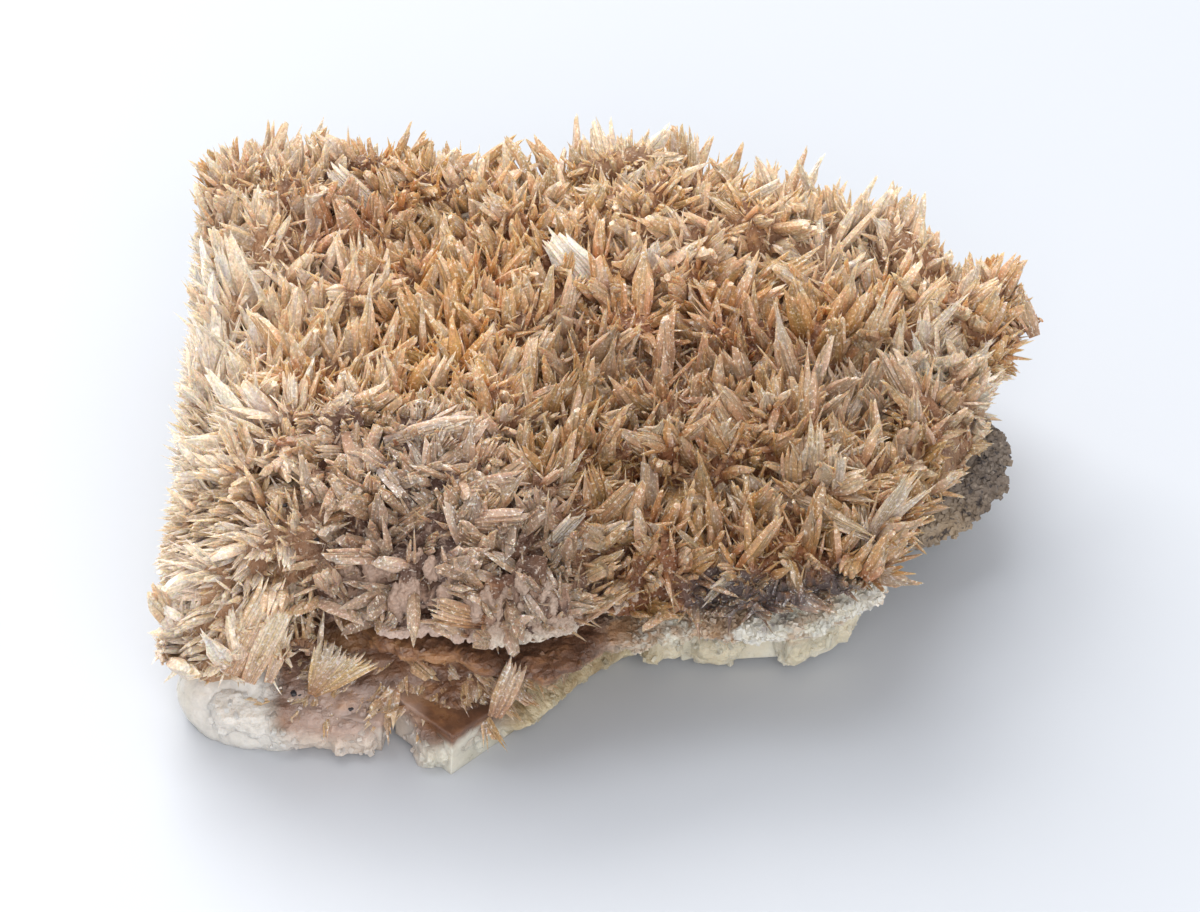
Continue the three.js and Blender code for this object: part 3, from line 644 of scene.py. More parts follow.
def as_pattern(bm):
    """A finished bmesh as points and triangles, to be copied many times."""
    bmesh.ops.triangulate(bm, faces=bm.faces)
    bm.verts.ensure_lookup_table()
    points = np.array([v.co for v in bm.verts])
    faces = np.array([[v.index for v in f.verts] for f in bm.faces])
    bm.free()
    return points, faces


def copied(points, faces, foot, side, out, up, first=0):
    """Copies of a pattern as points and faces: foot is each one's place, side, out and up its edges."""
    places = (points[None, :, 0:1] * side[:, None] + points[None, :, 1:2] * out[:, None]
              + points[None, :, 2:3] * up[:, None] + foot[:, None])
    start = first + np.arange(len(foot))[:, None, None] * len(points)
    return places, (faces[None] + start).reshape(-1, 3)


def mesh_of(name, points, faces):
    """A mesh of triangles."""
    mesh = bpy.data.meshes.new(name)
    mesh.from_pydata(points.tolist(), [], faces.tolist())
    mesh.update()
    return mesh


def tree_of(mesh):
    """A mesh made ready for rays."""
    return BVHTree.FromPolygons([v.co for v in mesh.vertices], [tuple(p.vertices) for p in mesh.polygons])


def dropped(tree, x, y):
    """Where a plumb line at x, y, mm, first meets a mesh from above, or None."""
    return tree.ray_cast(Vector((x * MM, y * MM, ABOVE)), Vector((0, 0, -1)))[0]


def melted(mesh, voxel, rounds):
    """The mesh with an even skin and its edges melted."""
    holder = linked("holder", mesh)
    even = holder.modifiers.new("Even skin", "REMESH")
    even.mode, even.voxel_size = "VOXEL", voxel
    melt = holder.modifiers.new("Melt", "SMOOTH")
    melt.factor, melt.iterations = 0.5, rounds
    made = bpy.data.meshes.new_from_object(holder.evaluated_get(bpy.context.evaluated_depsgraph_get()))
    bpy.data.objects.remove(holder)
    return made


def main_part(mesh):
    """The mesh without the crumbs that came loose from it."""
    bm = bmesh.new()
    bm.from_mesh(mesh)
    left, parts = set(bm.verts), []
    while left:
        part, edge = set(), [next(iter(left))]
        while edge:
            vert = edge.pop()
            if vert in part:
                continue
            part.add(vert)
            edge.extend(e.other_vert(vert) for e in vert.link_edges)
        left -= part
        parts.append(part)
    largest = max(parts, key=len)
    bmesh.ops.delete(bm, geom=[v for v in bm.verts if v not in largest], context="VERTS")
    return as_mesh(bm, mesh.name)


def remade(node, voxel, rounds):
    """A melted copy of a solid."""
    bm = bmesh.new()
    bm.from_mesh(solid(node))
    bmesh.ops.remove_doubles(bm, verts=bm.verts, dist=0.001 * MM)
    return main_part(melted(as_mesh(bm, node), voxel, rounds))


def eased(value, low, high):
    """0 below low and 1 above high, eased between them."""
    share = np.clip((value - low) / (high - low), 0, 1)
    return share * share * (3 - 2 * share)


def roughened(mesh, layers, share=1):
    """Moves every point along its normal by a sum of noises: (size, height, sharp) in metres."""
    points = numbers(mesh.vertices, "co", 3)
    normals = numbers(mesh.vertices, "normal", 3)
    lift = np.zeros(len(points), np.float32)
    for size, height, sharp in layers:
        for i, point in enumerate(points / size):
            if sharp:
                near = noise.voronoi(point)[0]
                value = (near[1] - near[0]) * 1.6 - 0.5
            else:
                value = noise.noise(point)
            lift[i] += height * value
    points += normals * (lift * share)[:, None]
    points[:, 2] = np.maximum(points[:, 2], 0)
    return moved(mesh, points)


def settled(mesh, sunk, spread):
    """Lowers a skin's upper side, by one depth or one for every point, and moves its walls outwards."""
    points = numbers(mesh.vertices, "co", 3)
    normals = numbers(mesh.vertices, "normal", 3)
    points[:, :2] += normals[:, :2] * np.reshape(spread, (-1, 1))
    points[:, 2] -= np.maximum(normals[:, 2], 0) * sunk
    return moved(mesh, points)


def drawn_in(mesh):
    """Brings the mat's left and right ends in, its back end out and the lump's lower rim up."""
    points = numbers(mesh.vertices, "co", 3)
    x, y, z = (points / MM).T
    points[:, 0] -= 1.1 * MM * eased(x, 19, 23) * eased(-y, -9, -4)
    points[:, 1] += (0.15 + 0.4 * eased(x, -12, -2)) * MM * eased(y, 12, 19)
    rim = eased(-y, 14.5, 16.5) * eased(x, -16, -14) * eased(-x, -2.5, 0) * eased(-z, -9.6, -8)
    points[:, 2] += 0.9 * MM * rim
    points[:, 0] = np.maximum(points[:, 0], (-23.9 - 0.9 * eased(-y, 9, 13)) * MM)
    return moved(mesh, points)


def filled_foot(mesh):
    """Brings the foot of the bed's front wall out under the wall above it, and cuts a notch in it."""
    points = numbers(mesh.vertices, "co", 3)
    normals = numbers(mesh.vertices, "normal", 3)
    flat = np.linalg.norm(normals[:, :2], axis=1)
    x, y, z = (points / MM).T
    side = eased(flat, 0.08, 0.3)
    share = eased(-y, 8, 10) * eased(-z, -2.6, -1) * eased(x, -6.6, -5.4) * (1 - 0.95 * eased(x, 0.5, 3.5))
    move = side * (0.3 + 1.7 * share) * MM
    points[:, :2] += normals[:, :2] / np.maximum(flat, 1e-6)[:, None] * move[:, None]
    # the notch lies between the two groups of crystals in front
    notch = np.maximum(0, 1 - np.abs(x + 11.7) / 1.5) * eased(-y, 15.5, 18) * eased(-z, -3.8, -2.8)
    points[:, 1] += notch * 3 * MM
    return moved(mesh, np.clip(points, *np.array(CAD_BOX)))


def strength_at(spots, places):
    """How strongly round patches of the specimen, given in mm, are felt at each place."""
    felt = np.zeros(len(places))
    for x, y, reach, strength in spots:
        away = np.hypot(places[:, 0] / MM - x, places[:, 1] / MM - y) / reach
        felt = np.maximum(felt, strength * np.exp(-(away ** 2)))
    return np.minimum(felt, 1)


def unit(vectors):
    """The vectors, one in each row, at length one."""
    return vectors / np.maximum(np.linalg.norm(vectors, axis=1, keepdims=True), 1e-12)


def scattered(mesh, rng, spacing):
    """Places all over a mesh, at most one in a cell of this size, and the mesh's normals there."""
    tries_in_cell = 6
    mesh.calc_loop_triangles()
    points = numbers(mesh.vertices, "co", 3).astype(float)
    corners = np.empty(len(mesh.loop_triangles) * 3, np.int32)
    mesh.loop_triangles.foreach_get("vertices", corners)
    a, b, c = (points[corners.reshape(-1, 3)[:, n]] for n in range(3))
    normal = np.cross(b - a, c - a)
    area = np.linalg.norm(normal, axis=1)
    tries = int(area.sum() / 2 / spacing ** 2 * tries_in_cell)
    chosen = rng.choice(len(area), tries, p=area / area.sum())
    s, t = np.sqrt(rng.random(tries)), rng.random(tries)
    place = (1 - s)[:, None] * a[chosen] + (s * (1 - t))[:, None] * b[chosen] + (s * t)[:, None] * c[chosen]
    kept = np.unique(np.floor(place / spacing).astype(int), axis=0, return_index=True)[1]
    return place[kept], unit(normal[chosen][kept])


# ---- crystals --------------------------------------------------------------------------------------
# forms: height lost at both sides, or at one where below 0, how the tips gather, where the laths' taper
# starts, and its least and most
FORMS = {
    "spear": (0.3, 0.5, 0.55, 0.6, 0.92),
    "lance": (0.2, 0.72, 0.7, 0.3, 0.8),
    "slat": (0.12, 0.9, 0.8, 0.25, 0.75),
    "plank": (0.08, 0.96, 0.86, 0.05, 0.45),
    "chip": (-0.22, 0.95, 0.86, 0.15, 0.6),
    "chisel": (-0.16, 1.0, 0.92, 0.0, 0.3),
    "fan": (0.16, 1.3, 0.78, 0.3, 0.75),
}
# what grows on the mat: a lath's sides and cuts, fewest and most laths in a crystal and their forms, room
# between two, least and most length, width and thickness (a share of the width), lean, how deep the root
# is, how likely one stands on plain ground, on the lump and in a fan, and the share of its length that it
# loses on a wall; what isn't here comes from the settings
KINDS = {
    "blade": dict(
        sides=5, cuts=2, laths=(3, 5), thick=(0.4, 0.75), lean=0.32, root=0.6 * MM, chances=(1, 0.25, 0.3),
        stoop=0.4, forms=("lance",) * 4 + ("spear",) + ("slat",) * 6 + ("chip",) * 4 + ("fan",) * 2),
    "lath": dict(
        sides=5, cuts=1, laths=(1, 1), length=(0.9 * MM, 2.6 * MM), width=(0.22 * MM, 0.6 * MM),
        thick=(0.45, 0.85), lean=0.5, root=0.3 * MM, chances=(1, 0.4, 0.6), stoop=0.15,
        forms=("spear",) * 2 + ("lance",) * 3 + ("slat",) * 3),
    "felt": dict(
        sides=4, cuts=0, laths=(1, 1), length=(0.35 * MM, 1 * MM), width=(0.18 * MM, 0.42 * MM),
        thick=(0.5, 0.9), lean=0.8, root=0.15 * MM, chances=(0.9, 0.3, 0.8), stoop=0,
        forms=("spear", "lance", "slat")),
    "stub": dict(
        sides=4, cuts=2, laths=(3, 6), spacing=1.15 * MM, length=(1 * MM, 3.2 * MM),
        width=(0.6 * MM, 1.8 * MM), thick=(0.35, 0.7), lean=1.1, root=0.5 * MM, chances=(0, 1, 0), stoop=0,
        forms=("plank", "plank", "chisel", "chisel", "plank", "fan")),
    "fibre": dict(
        sides=4, cuts=1, laths=(3, 4), spacing=0.62 * MM, length=(1.2 * MM, 2.8 * MM),
        width=(0.3 * MM, 0.7 * MM), thick=(0.4, 0.7), lean=0.2, root=0.4 * MM, chances=(0, 0, 1), stoop=0.4,
        forms=("lance", "spear", "slat", "fan")),
}
REGIONS = ("front_left", "front_right", "left", "right", "back_left", "back_right", "middle")


def plain_lath(sides, cuts):
    """A closed prism one unit tall on the origin, as points and triangles."""
    bm = bmesh.new()
    bmesh.ops.create_cone(
        bm, cap_ends=True, cap_tris=False, segments=sides, radius1=0.5, radius2=0.5, depth=1,
        matrix=Matrix.Translation((0, 0, 0.5)))
    if cuts:
        upright = [e for e in bm.edges if abs(e.verts[0].co.z - e.verts[1].co.z) > 0.5]
        bmesh.ops.subdivide_edges(bm, edges=upright, cuts=cuts)
    return as_pattern(bm)


def bundle(rng, lath, count, form):
    """A crystal grown of parallel laths, one unit wide and tall: points, faces, how far up each point
    is, the tone of its lath, and a lath's own points."""
    points, faces = lath
    droop, gather, start, least, most = FORMS[form]
    all_points, all_faces, along, tone = [], [], [], []
    across = (np.arange(count) + 0.5) / count * 2 - 1 if count > 1 else np.zeros(1)
    bow = rng.uniform(-0.07, 0.07)
    t = points[:, 2]
    for n, place in enumerate(across):
        side = 0.5 - 0.5 * place if droop < 0 else abs(place) ** 1.4
        tall = (1 - abs(droop) * side) * rng.uniform(0.84, 1.0)
        # the laths part from the foot up, then gather or fan out, and each tapers by itself
        spread = (0.6 + 0.4 * eased(t, 0, 0.45)) * (1 + (gather - 1) * eased(t, 0.45, 1))
        wide = (2 if count > 1 else 1) / count * rng.uniform(0.8, 1.2)
        own = (0.7 + 0.3 * eased(t, 0, 0.4)) * (1 - rng.uniform(least, most) * eased(t, start, 1))
        x = 0.5 * place * spread * (1 - 1 / count) + points[:, 0] * wide * own
        thick = rng.uniform(0.75, 1.0) if count > 1 else 1
        y = points[:, 1] * own * thick + (rng.uniform(-0.14, 0.14) if count > 1 else 0) * (0.5 + 0.5 * t)
        y += bow * np.sin(t * math.pi)
        # its flat end is cut at a slant
        slant = rng.uniform(-1.1, 1.1) * points[:, 0] * wide * (t > 0.99)
        all_faces.append(faces + len(points) * n)
        all_points.append(np.stack([x, y, t * tall + slant], axis=1))
        along.append(t * tall)
        tone.append(np.full(len(points), rng.uniform(0, 1)))
    return (np.concatenate(all_points), np.concatenate(all_faces), np.concatenate(along),
            np.concatenate(tone), points)


class Grove:
    """Crystals gathered before they are joined in one mesh."""

    def __init__(self):
        self.points, self.faces, self.along, self.tone, self.patch = [], [], [], [], []
        self.grain, self.card, self.held, self.laths = [], [], 0, 0

    def stamp(self, pattern, foot, side, out, up, tone, patch, shift):
        """Copies of a pattern: foot is each one's place, side, out and up its three edges."""
        points, faces, along, own, lath = pattern
        copies, each = len(foot), len(points) // len(lath)
        places, numbered = copied(points, faces, foot, side, out, up, self.held)
        self.points.append(places.reshape(-1, 3))
        self.faces.append(numbered)
        self.along.append(np.tile(along, copies))
        self.tone.append((0.5 * own[None] + 0.5 * tone[:, None]).ravel())
        self.patch.append(np.repeat(patch, len(points), axis=0))
        width, height = np.linalg.norm(side, axis=1), np.linalg.norm(up, axis=1)
        u = points[None, :, 0] * width[:, None] / MM + shift[:, None]
        v = points[None, :, 2] * height[:, None] / MM + shift[:, None] * 3
        self.grain.append(np.stack([u, v], axis=2).reshape(-1, 2))
        flat = np.stack([0.5 + 0.8 * lath[:, 0] + 0.1 * lath[:, 1],
                         0.08 + 0.8 * lath[:, 2] + 0.06 * (lath[:, 1] + 0.5)], axis=1)
        number = self.laths + np.repeat(np.arange(copies * each), len(lath))
        self.card.append(np.column_stack([np.tile(flat, (copies * each, 1)), number]))
        self.held += copies * len(points)
        self.laths += copies * each

    def cards(self):
        """A map that gives every lath a card of its own, in rows on a square."""
        card = np.concatenate(self.card)
        columns = math.ceil(math.sqrt(self.laths * 2.5))
        rows = math.ceil(self.laths / columns)
        return np.stack([(card[:, 0] + card[:, 2] % columns) / columns,
                         (card[:, 1] + card[:, 2] // columns) / rows], axis=1)

    def mesh(self, name):
        """All the crystals as one mesh with sharp edges, with what their material reads and two maps."""
        faces = np.concatenate(self.faces)
        mesh = mesh_of(name, np.concatenate(self.points), faces)
        for key, values in (("along", self.along), ("tone", self.tone), ("patch", self.patch)):
            noted(mesh, key, np.concatenate(values))
        for key, places in (("Grain", np.concatenate(self.grain)), ("OFBake", self.cards())):
            corners = places[faces.ravel()].astype(np.float32).ravel()
            mesh.uv_layers.new(name=key).data.foreach_set("uv", corners)
        mesh.polygons.foreach_set("use_smooth", np.zeros(len(faces), bool))
        mesh.update()
        return mesh


def region_of(places):
    """The number of the region that each place is in."""
    x, y = places[:, 0] / MM, places[:, 1] / MM
    tests = [(y < -9) & (x < -5), y < -9, x < -14, x > 12, (y > 7) & (x < -1), y > 7]
    return np.select(tests, range(6), 6)


def kept_inside(foot, up):
    """Shortens the blades whose tips would pass the trimmed box of the solids, step by step."""
    low = np.array(CAD_BOX[0] + Vector(TRIM_LOW) * MM) + np.zeros(foot.shape)
    low[:, 0] += 0.5 * MM * eased(foot[:, 1], -13 * MM, -8 * MM)
    high = np.array(CAD_BOX[1] - Vector(TRIM_HIGH) * MM)
    for _ in range(8):
        tip = foot + up
        past = ((tip < low) | (tip > high)).any(axis=1)
        up = np.where(past[:, None], up * 0.86, up)
    return up


class Ground:
    """The felted mat, and what grows where on it."""

    def __init__(self, mesh, rng, spray):
        self.mesh = mesh
        self.hearts = scattered(mesh, rng, spray)[0]
        self.heart_tone = rng.random(len(self.hearts))
        self.heart_patch = rng.normal(0, 0.13, (len(self.hearts), 3))

    def heart_of(self, places):
        """The number of the nearest spray heart."""
        return np.argmin(((places[:, None] - self.hearts[None]) ** 2).sum(axis=2), axis=1)

    def patches(self, places, heart, rng):
        """How red, grey and pale each crystal is."""
        felt = np.stack([strength_at(s, places) for s in (RED_SPOTS, LUMP_SPOTS, PALE_AND_BACKLIT_SPOTS)], axis=1)
        jitter = rng.normal(0, 0.1, felt.shape) + self.heart_patch[heart]
        return np.clip(felt * (1 + jitter) + jitter * 0.7 * (1 - felt), 0, 1)

    def feet(self, own, rng):
        """Where crystals of a kind stand, the mat's normal there and how much of a fan it is."""
        place, normal = scattered(self.mesh, rng, own.spacing)
        lump, fan = strength_at(LUMP_SPOTS, place), strength_at(FAN_SPOTS, place)
        on_plain, on_lump, in_fan = own.chances
        chance = on_plain + (on_lump - on_plain) * eased(lump, 0.2, 0.5)
        chance = chance + (in_fan - chance) * eased(fan, 0.25, 0.6)
        chance = chance * (1 - strength_at(SPARSE_SPOTS, place))
        kept = (normal[:, 2] > -0.6) & (rng.random(len(place)) < chance)
        return place[kept], normal[kept], fan[kept]

    def directions(self, place, normal, heart, fan, wall, lean, rng):
        """Away from each one's heart, or the fans' own, and upwards on a wall, with a random lean."""
        away = (place - self.hearts[heart]) / (2.4 * MM)
        pull = away * np.minimum(1, 1 / np.maximum(np.linalg.norm(away, axis=1), 1e-9))[:, None] * 0.65
        outward = place - np.array(FAN_HEART) * MM
        outward[:, 2] = 0
        pull += unit(outward) * fan[:, None] * 1.5
        pull[:, 2] += 0.25 + 0.65 * wall * (1 - fan) - 0.3 * fan
        sideways = unit(np.cross(normal, unit(rng.normal(0, 1, normal.shape))))
        tilt = np.clip(np.abs(rng.normal(0, lean, len(place))) * (1 - 0.5 * fan), 0, 1.25)
        return unit(unit(normal + pull) + sideways * np.tan(tilt)[:, None])

    def sow(self, kind, groves, rng, **settings):
        """Crystals of one kind all over the mat."""
        own = SimpleNamespace(**KINDS[kind], **settings)
        lath = plain_lath(own.sides, own.cuts)
        fewest, most = own.laths
        patterns = [bundle(rng, lath, int(rng.integers(fewest, most + 1)), form) for form in own.forms]
        place, normal, fan = self.feet(own, rng)
        count = len(place)
        heart = self.heart_of(place)
        wall = 1 - eased(normal[:, 2], 0.2, 0.7)
        direction = self.directions(place, normal, heart, fan, wall, own.lean, rng)

        size = rng.beta(1.5, 2.1, count)
        tall = (own.length[0] + (own.length[1] - own.length[0]) * size) * (1 - own.stoop * wall)
        tall = tall * (1 - strength_at(SHORT_SPOTS, place))
        broad = own.width[0] + (own.width[1] - own.width[0]) * (0.5 * size + 0.5 * rng.random(count))
        foot = place - direction * own.root
        up = kept_inside(foot, direction * (tall + own.root)[:, None])
        broad = broad * np.sqrt(np.linalg.norm(up, axis=1) / (tall + own.root))
        side = unit(np.cross(direction, unit(rng.normal(0, 1, direction.shape))))
        out = np.cross(direction, side) * (broad * rng.uniform(*own.thick, count))[:, None]
        side = side * broad[:, None]
        tone = 0.6 * rng.random(count) + 0.4 * self.heart_tone[heart]
        patch, shift = self.patches(place, heart, rng), rng.uniform(0, 60, count)
        pick, region = rng.integers(0, len(patterns), count), region_of(place)
        for r, grove in enumerate(groves):
            for n, pattern in enumerate(patterns):
                m = (pick == n) & (region == r)
                if m.any():
                    grove.stamp(pattern, foot[m], side[m], out[m], up[m], tone[m], patch[m], shift[m])


def felted_mat(sizes):
    """The ground between the blades, deeply creased on the lump."""
    mesh = remade("inesite_crust", 0.4 * MM, 16)
    spots = numbers(mesh.vertices, "co", 3)
    lump = strength_at(LUMP_SPOTS, spots)
    sunk = sizes.sunk * (1 - 0.6 * lump) * (1 - 2 * eased(spots[:, 1], 8 * MM, 14 * MM))
    drawn_in(settled(mesh, sunk, sizes.spread))
    roughened(mesh, [(3.2 * MM, 0.3 * MM, False), (1.1 * MM, 0.14 * MM, False)])
    before, normals = numbers(mesh.vertices, "co", 3), numbers(mesh.vertices, "normal", 3)
    roughened(mesh, [(2.1 * MM, -0.95 * MM, True), (0.7 * MM, 0.25 * MM, True)], eased(lump, 0.25, 0.6))
    lift = ((numbers(mesh.vertices, "co", 3) - before) * normals).sum(axis=1)
    # how deep each crease cuts, which the mat's material darkens as painted shade
    noted(mesh, "deep", eased(-lift, 0.05 * MM, 0.6 * MM))
    return mesh


def one_blade(grove, rng, foot, up, width, form, patch, tone=0.7):
    """A single large blade, its flat side turned to the front, of more laths the broader it is."""
    count = int(np.clip(3 + 3.2 * width / MM, 5, 9))
    across = unit(np.cross(up, np.array([[0.15, -1, 0.25]])))
    out = unit(np.cross(up, across)) * width * 0.38
    grove.stamp(bundle(rng, plain_lath(6, 4), count, form), foot, across * width, out, up,
                np.array([tone]), np.array([patch]), rng.uniform(0, 60, 1))


def standing_blades(tree, rng, groves):
    """The blades that stand out, each at its own place."""
    for x, y, dx, dy, dz, width, pale, form in KNOWN_BLADES:
        hit = dropped(tree, x, y)
        if hit is None:
            continue
        reach = np.array([dx, dy, dz]) * MM
        start = np.array(hit)
        lead = unit(np.array([[dx, dy, max(dz, 1)]]))[0] * 0.8 * MM
        up = kept_inside((start - lead)[None], (reach + lead)[None])
        lump = strength_at(LUMP_SPOTS, start[None])[0]
        one_blade(groves[region_of(start[None])[0]], rng, (start - lead)[None], up,
                  width * KNOWN_BROADER * MM, form, (0.25 * lump, 0.6 * lump, pale * KNOWN_PALER))
    for x, y, z, dx, dy, dz, width, form in LEANING_BLADES:
        one_blade(groves[0], rng, np.array([[x, y, z]]) * MM, np.array([[dx, dy, dz]]) * MM, width * MM, form,
                  (0.0, 0.0, 0.3))


def beaded_edge(tree, rng):
    """The white-pink beads and the granular flap that hang under the crust's front edge."""
    bm = bmesh.new()
    for n, (x, lowest, rise, radius, count) in enumerate(BEADS + KNOBS):
        for _ in range(count):
            share = rng.random()
            spot = Vector((x + rng.uniform(-0.6, 0.6), IN_FRONT, lowest + rise * share)) * MM
            hit = tree.ray_cast(spot, Vector((0, 1, 0)))[0]
            if hit is None:
                continue
            size = radius * rng.uniform(0.7, 1.2) * (1 - 0.35 * share) * MM
            centre = hit + Vector((0, rng.uniform(-0.2, 0.3) * MM, 0))
            stretch = (1, 0.9, 1) if n < len(BEADS) else (0.8, 0.9, rng.uniform(1, 2.2))
            shape = (Matrix.Translation(centre) @ Matrix.Rotation(rng.uniform(-0.4, 0.4), 4, "Y")
                     @ Matrix.Diagonal((*stretch, 1)))
            bmesh.ops.create_icosphere(bm, subdivisions=2, radius=size, matrix=shape)
    return roughened(melted(as_mesh(bm, "beaded_edge"), 0.09 * MM, 1), [(0.3 * MM, 0.09 * MM, True)])


def shelf_laths(rng):
    """Thin laths strewn on the shelf, most of them pointing outwards."""
    place, normal = scattered(solid("quartz_bed"), rng, 0.5 * MM)
    x, y, z = (place / MM).T
    on_shelf = (y < -14.5) & (y > -19.4) & (x < 0.5) & (x > -18.5) & (z > 2.9) & (z < 5)
    kept = on_shelf & (rng.random(len(place)) < 0.8)
    outward = unit((place[kept] - np.array(SHELF_HEART) * MM) * (1, 1, 0.2))
    grove, lath = Grove(), plain_lath(4, 1)
    for spot, up, out in zip(place[kept], normal[kept], outward):
        flat = unit((out + rng.normal(0, 0.45, 3) * (1, 1, 0.3))[None])
        along = unit(flat - up * (flat @ up)[:, None] + up * 0.07)
        width = rng.uniform(0.3, 1) * MM
        across = unit(np.cross(along, up[None])) * width
        form = ("plank", "lance", "chisel")[int(rng.integers(0, 3))]
        foot = spot[None] - up * 0.12 * MM - along * 0.3 * MM
        grove.stamp(bundle(rng, lath, 3, form), foot, across, np.cross(along, unit(across)) * width * 0.3,
                    kept_inside(foot, along * rng.uniform(1, 2.8) * MM),
                    rng.random(1), np.array([[rng.uniform(0.3, 0.9), 0.1, rng.uniform(0, 0.1)]]),
                    rng.uniform(0, 60, 1))
    return grove


def resting_spray(rng, low, high):
    """Six blades that spread from one foot, within the box of the solid spray."""
    grove = Grove()
    foot = np.array([[low[0] + 0.5 * MM, (low[1] + high[1]) / 2 + 0.2 * MM, low[2] + 0.3 * MM]])
    for share in np.linspace(0, 1, 6):
        tip = np.array([[low[0] + (0.3 + 0.68 * share) * (high[0] - low[0]), low[1] + 0.3 * MM,
                         high[2] - 1.5 * MM * share]])
        one_blade(grove, rng, foot, tip - foot, 0.9 * MM, "plank", (0, 0, 0.1), rng.uniform(0.3, 1))
    return grove


def resting_blade(rng, low, high):
    """One blade from the low left to the high right of the solid blade's box."""
    grove = Grove()
    middle = (low[1] + high[1]) / 2
    foot = np.array([[low[0] + 0.5 * MM, middle, low[2] + 0.3 * MM]])
    tip = np.array([[high[0] - 0.5 * MM, middle, high[2] - 0.1 * MM]])
    one_blade(grove, rng, foot, tip - foot, 1.35 * MM, "plank", (0.4, 0.25, 0.1))
    return grove


# ---- quartz and rock -------------------------------------------------------------------------------
def bed_crystals():
    """Blunt-edged blocks of quartz at the foot of the bed's front."""
    bm = bmesh.new()
    for x, y, z, wide, deep, tall, turn, tip in BED_CRYSTALS:
        shape = (Matrix.Translation(Vector((x, y, z)) * MM) @ Matrix.Rotation(turn, 4, "Z")
                 @ Matrix.Rotation(tip, 4, "X") @ Matrix.Diagonal((*(Vector((wide, deep, tall)) * MM), 1)))
        made = bmesh.ops.create_cube(bm, size=1, matrix=shape)
        edges = list({e for v in made["verts"] for e in v.link_edges})
        bmesh.ops.bevel(
            bm, geom=edges, offset=CRYSTAL_BEVEL, segments=2, profile=0.5, material=-1, affect="EDGES")
    return roughened(as_mesh(bm, "bed_crystals"), [(2.2 * MM, 0.4 * MM, False)])


def white_lumps():
    """Rounded white lumps at the bed's left end, melted into each other."""
    bm = bmesh.new()
    for x, y, z, radius in WHITE_LUMPS:
        bmesh.ops.create_icosphere(
            bm, subdivisions=3, radius=radius * MM, matrix=Matrix.Translation(Vector((x, y, z)) * MM))
    lumps = melted(as_mesh(bm, "white_lumps"), 0.2 * MM, 12)
    return roughened(lumps, [(2.4 * MM, 0.5 * MM, False), (1.1 * MM, 0.1 * MM, True)])


def sugary(spot, normal):
    """How likely a sugary grain sits at a place, mm: thick on the right ledge, thin on the front."""
    x, y, z = spot.T
    ledge = (x > 1.5) & (y < -9) & (z > 4.6)
    return 0.9 * ledge + 0.06 * ((y < -8) & ~ledge)


def crumbly(spot, normal):
    """How likely a crumb of rock sits at a place: anywhere but on the underside."""
    return 0.8 * (normal[:, 2] > -0.3)


def grains(mesh, rng, spacing, small, large, chance):
    """Loose angular grains that stand on a mesh, as one mesh; chance gives how likely one is at places."""
    bm = bmesh.new()
    bmesh.ops.create_cube(bm, size=1)
    points, faces = as_pattern(bm)
    place, normal = scattered(mesh, rng, spacing)
    place = place[rng.random(len(place)) < chance(place / MM, normal)]
    count = len(place)
    size = rng.uniform(small, large, (count, 3))
    one = unit(rng.normal(0, 1, (count, 3)))
    two = unit(np.cross(one, unit(rng.normal(0, 1, (count, 3)))))
    three = np.cross(one, two)
    places, numbered = copied(
        points, faces, place, one * size[:, 0:1], two * size[:, 1:2], three * size[:, 2:3])
    places[:, :, 2] = np.maximum(places[:, :, 2], 0)
    return mesh_of("grains", places.reshape(-1, 3), numbered)


def black_specks(rng):
    """Flat black grains on top of whichever solid is highest at their places."""
    trees = [tree_of(solid(node)) for node in ("quartz_bed", "inesite_crust", "host_rock")]
    bm = bmesh.new()
    for x, y, radius in SPECKS:
        hits = [dropped(tree, x, y) for tree in trees]
        top = max((hit.z for hit in hits if hit), default=None)
        if top is None:
            continue
        shape = (Matrix.Translation((x * MM, y * MM, top + 0.25 * radius * MM))
                 @ Matrix.Rotation(rng.uniform(0, 3), 4, "Z") @ Matrix.Rotation(rng.uniform(0, 3), 4, "X")
                 @ Matrix.Diagonal((1, 0.7, 0.5, 1)))
        bmesh.ops.create_icosphere(bm, subdivisions=2, radius=radius * MM, matrix=shape)
    return roughened(as_mesh(bm, "black_specks"), [(0.14 * MM, 0.08 * MM, False)])


# ---- operators -------------------------------------------------------------------------------------
class BuildCrust(bpy.types.Operator):
    """The felted mat, all the blades that stand on it and the beads under its front edge"""
    bl_idname = "inesite.crust"
    bl_label = "Inesite crust"

    def execute(self, context):
        sizes, colours = context.scene.blade_sizes, context.scene.stone_colours
        rng = np.random.default_rng(sizes.seed)
        mesh = felted_mat(sizes)
        ground = Ground(mesh, rng, sizes.spray)
        spots = numbers(mesh.vertices, "co", 3).astype(float)
        noted(mesh, "patch", ground.patches(spots, ground.heart_of(spots), rng))

        groves = [Grove() for _ in REGIONS]
        ground.sow("blade", groves, rng, spacing=sizes.spacing, length=(sizes.shortest, sizes.longest),
                   width=(sizes.narrowest, sizes.widest))
        ground.sow("lath", groves, rng, spacing=sizes.lath_spacing)
        ground.sow("felt", groves, rng, spacing=sizes.felt_spacing)
        ground.sow("stub", groves, rng)
        ground.sow("fibre", groves, rng)
        tree = tree_of(mesh)
        standing_blades(tree, rng, groves)
        mat = add_piece("inesite_mat", mesh, mat_finish(colours))
        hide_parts("inesite_crust")
        finish = inesite_finish(colours, "inesite_blades")
        for name, grove in zip(REGIONS, groves):
            add_piece(f"blades_{name}", grove.mesh(f"blades_{name}"), finish)
        add_piece("beaded_edge", beaded_edge(tree, rng), bead_finish())
        return {"FINISHED"}


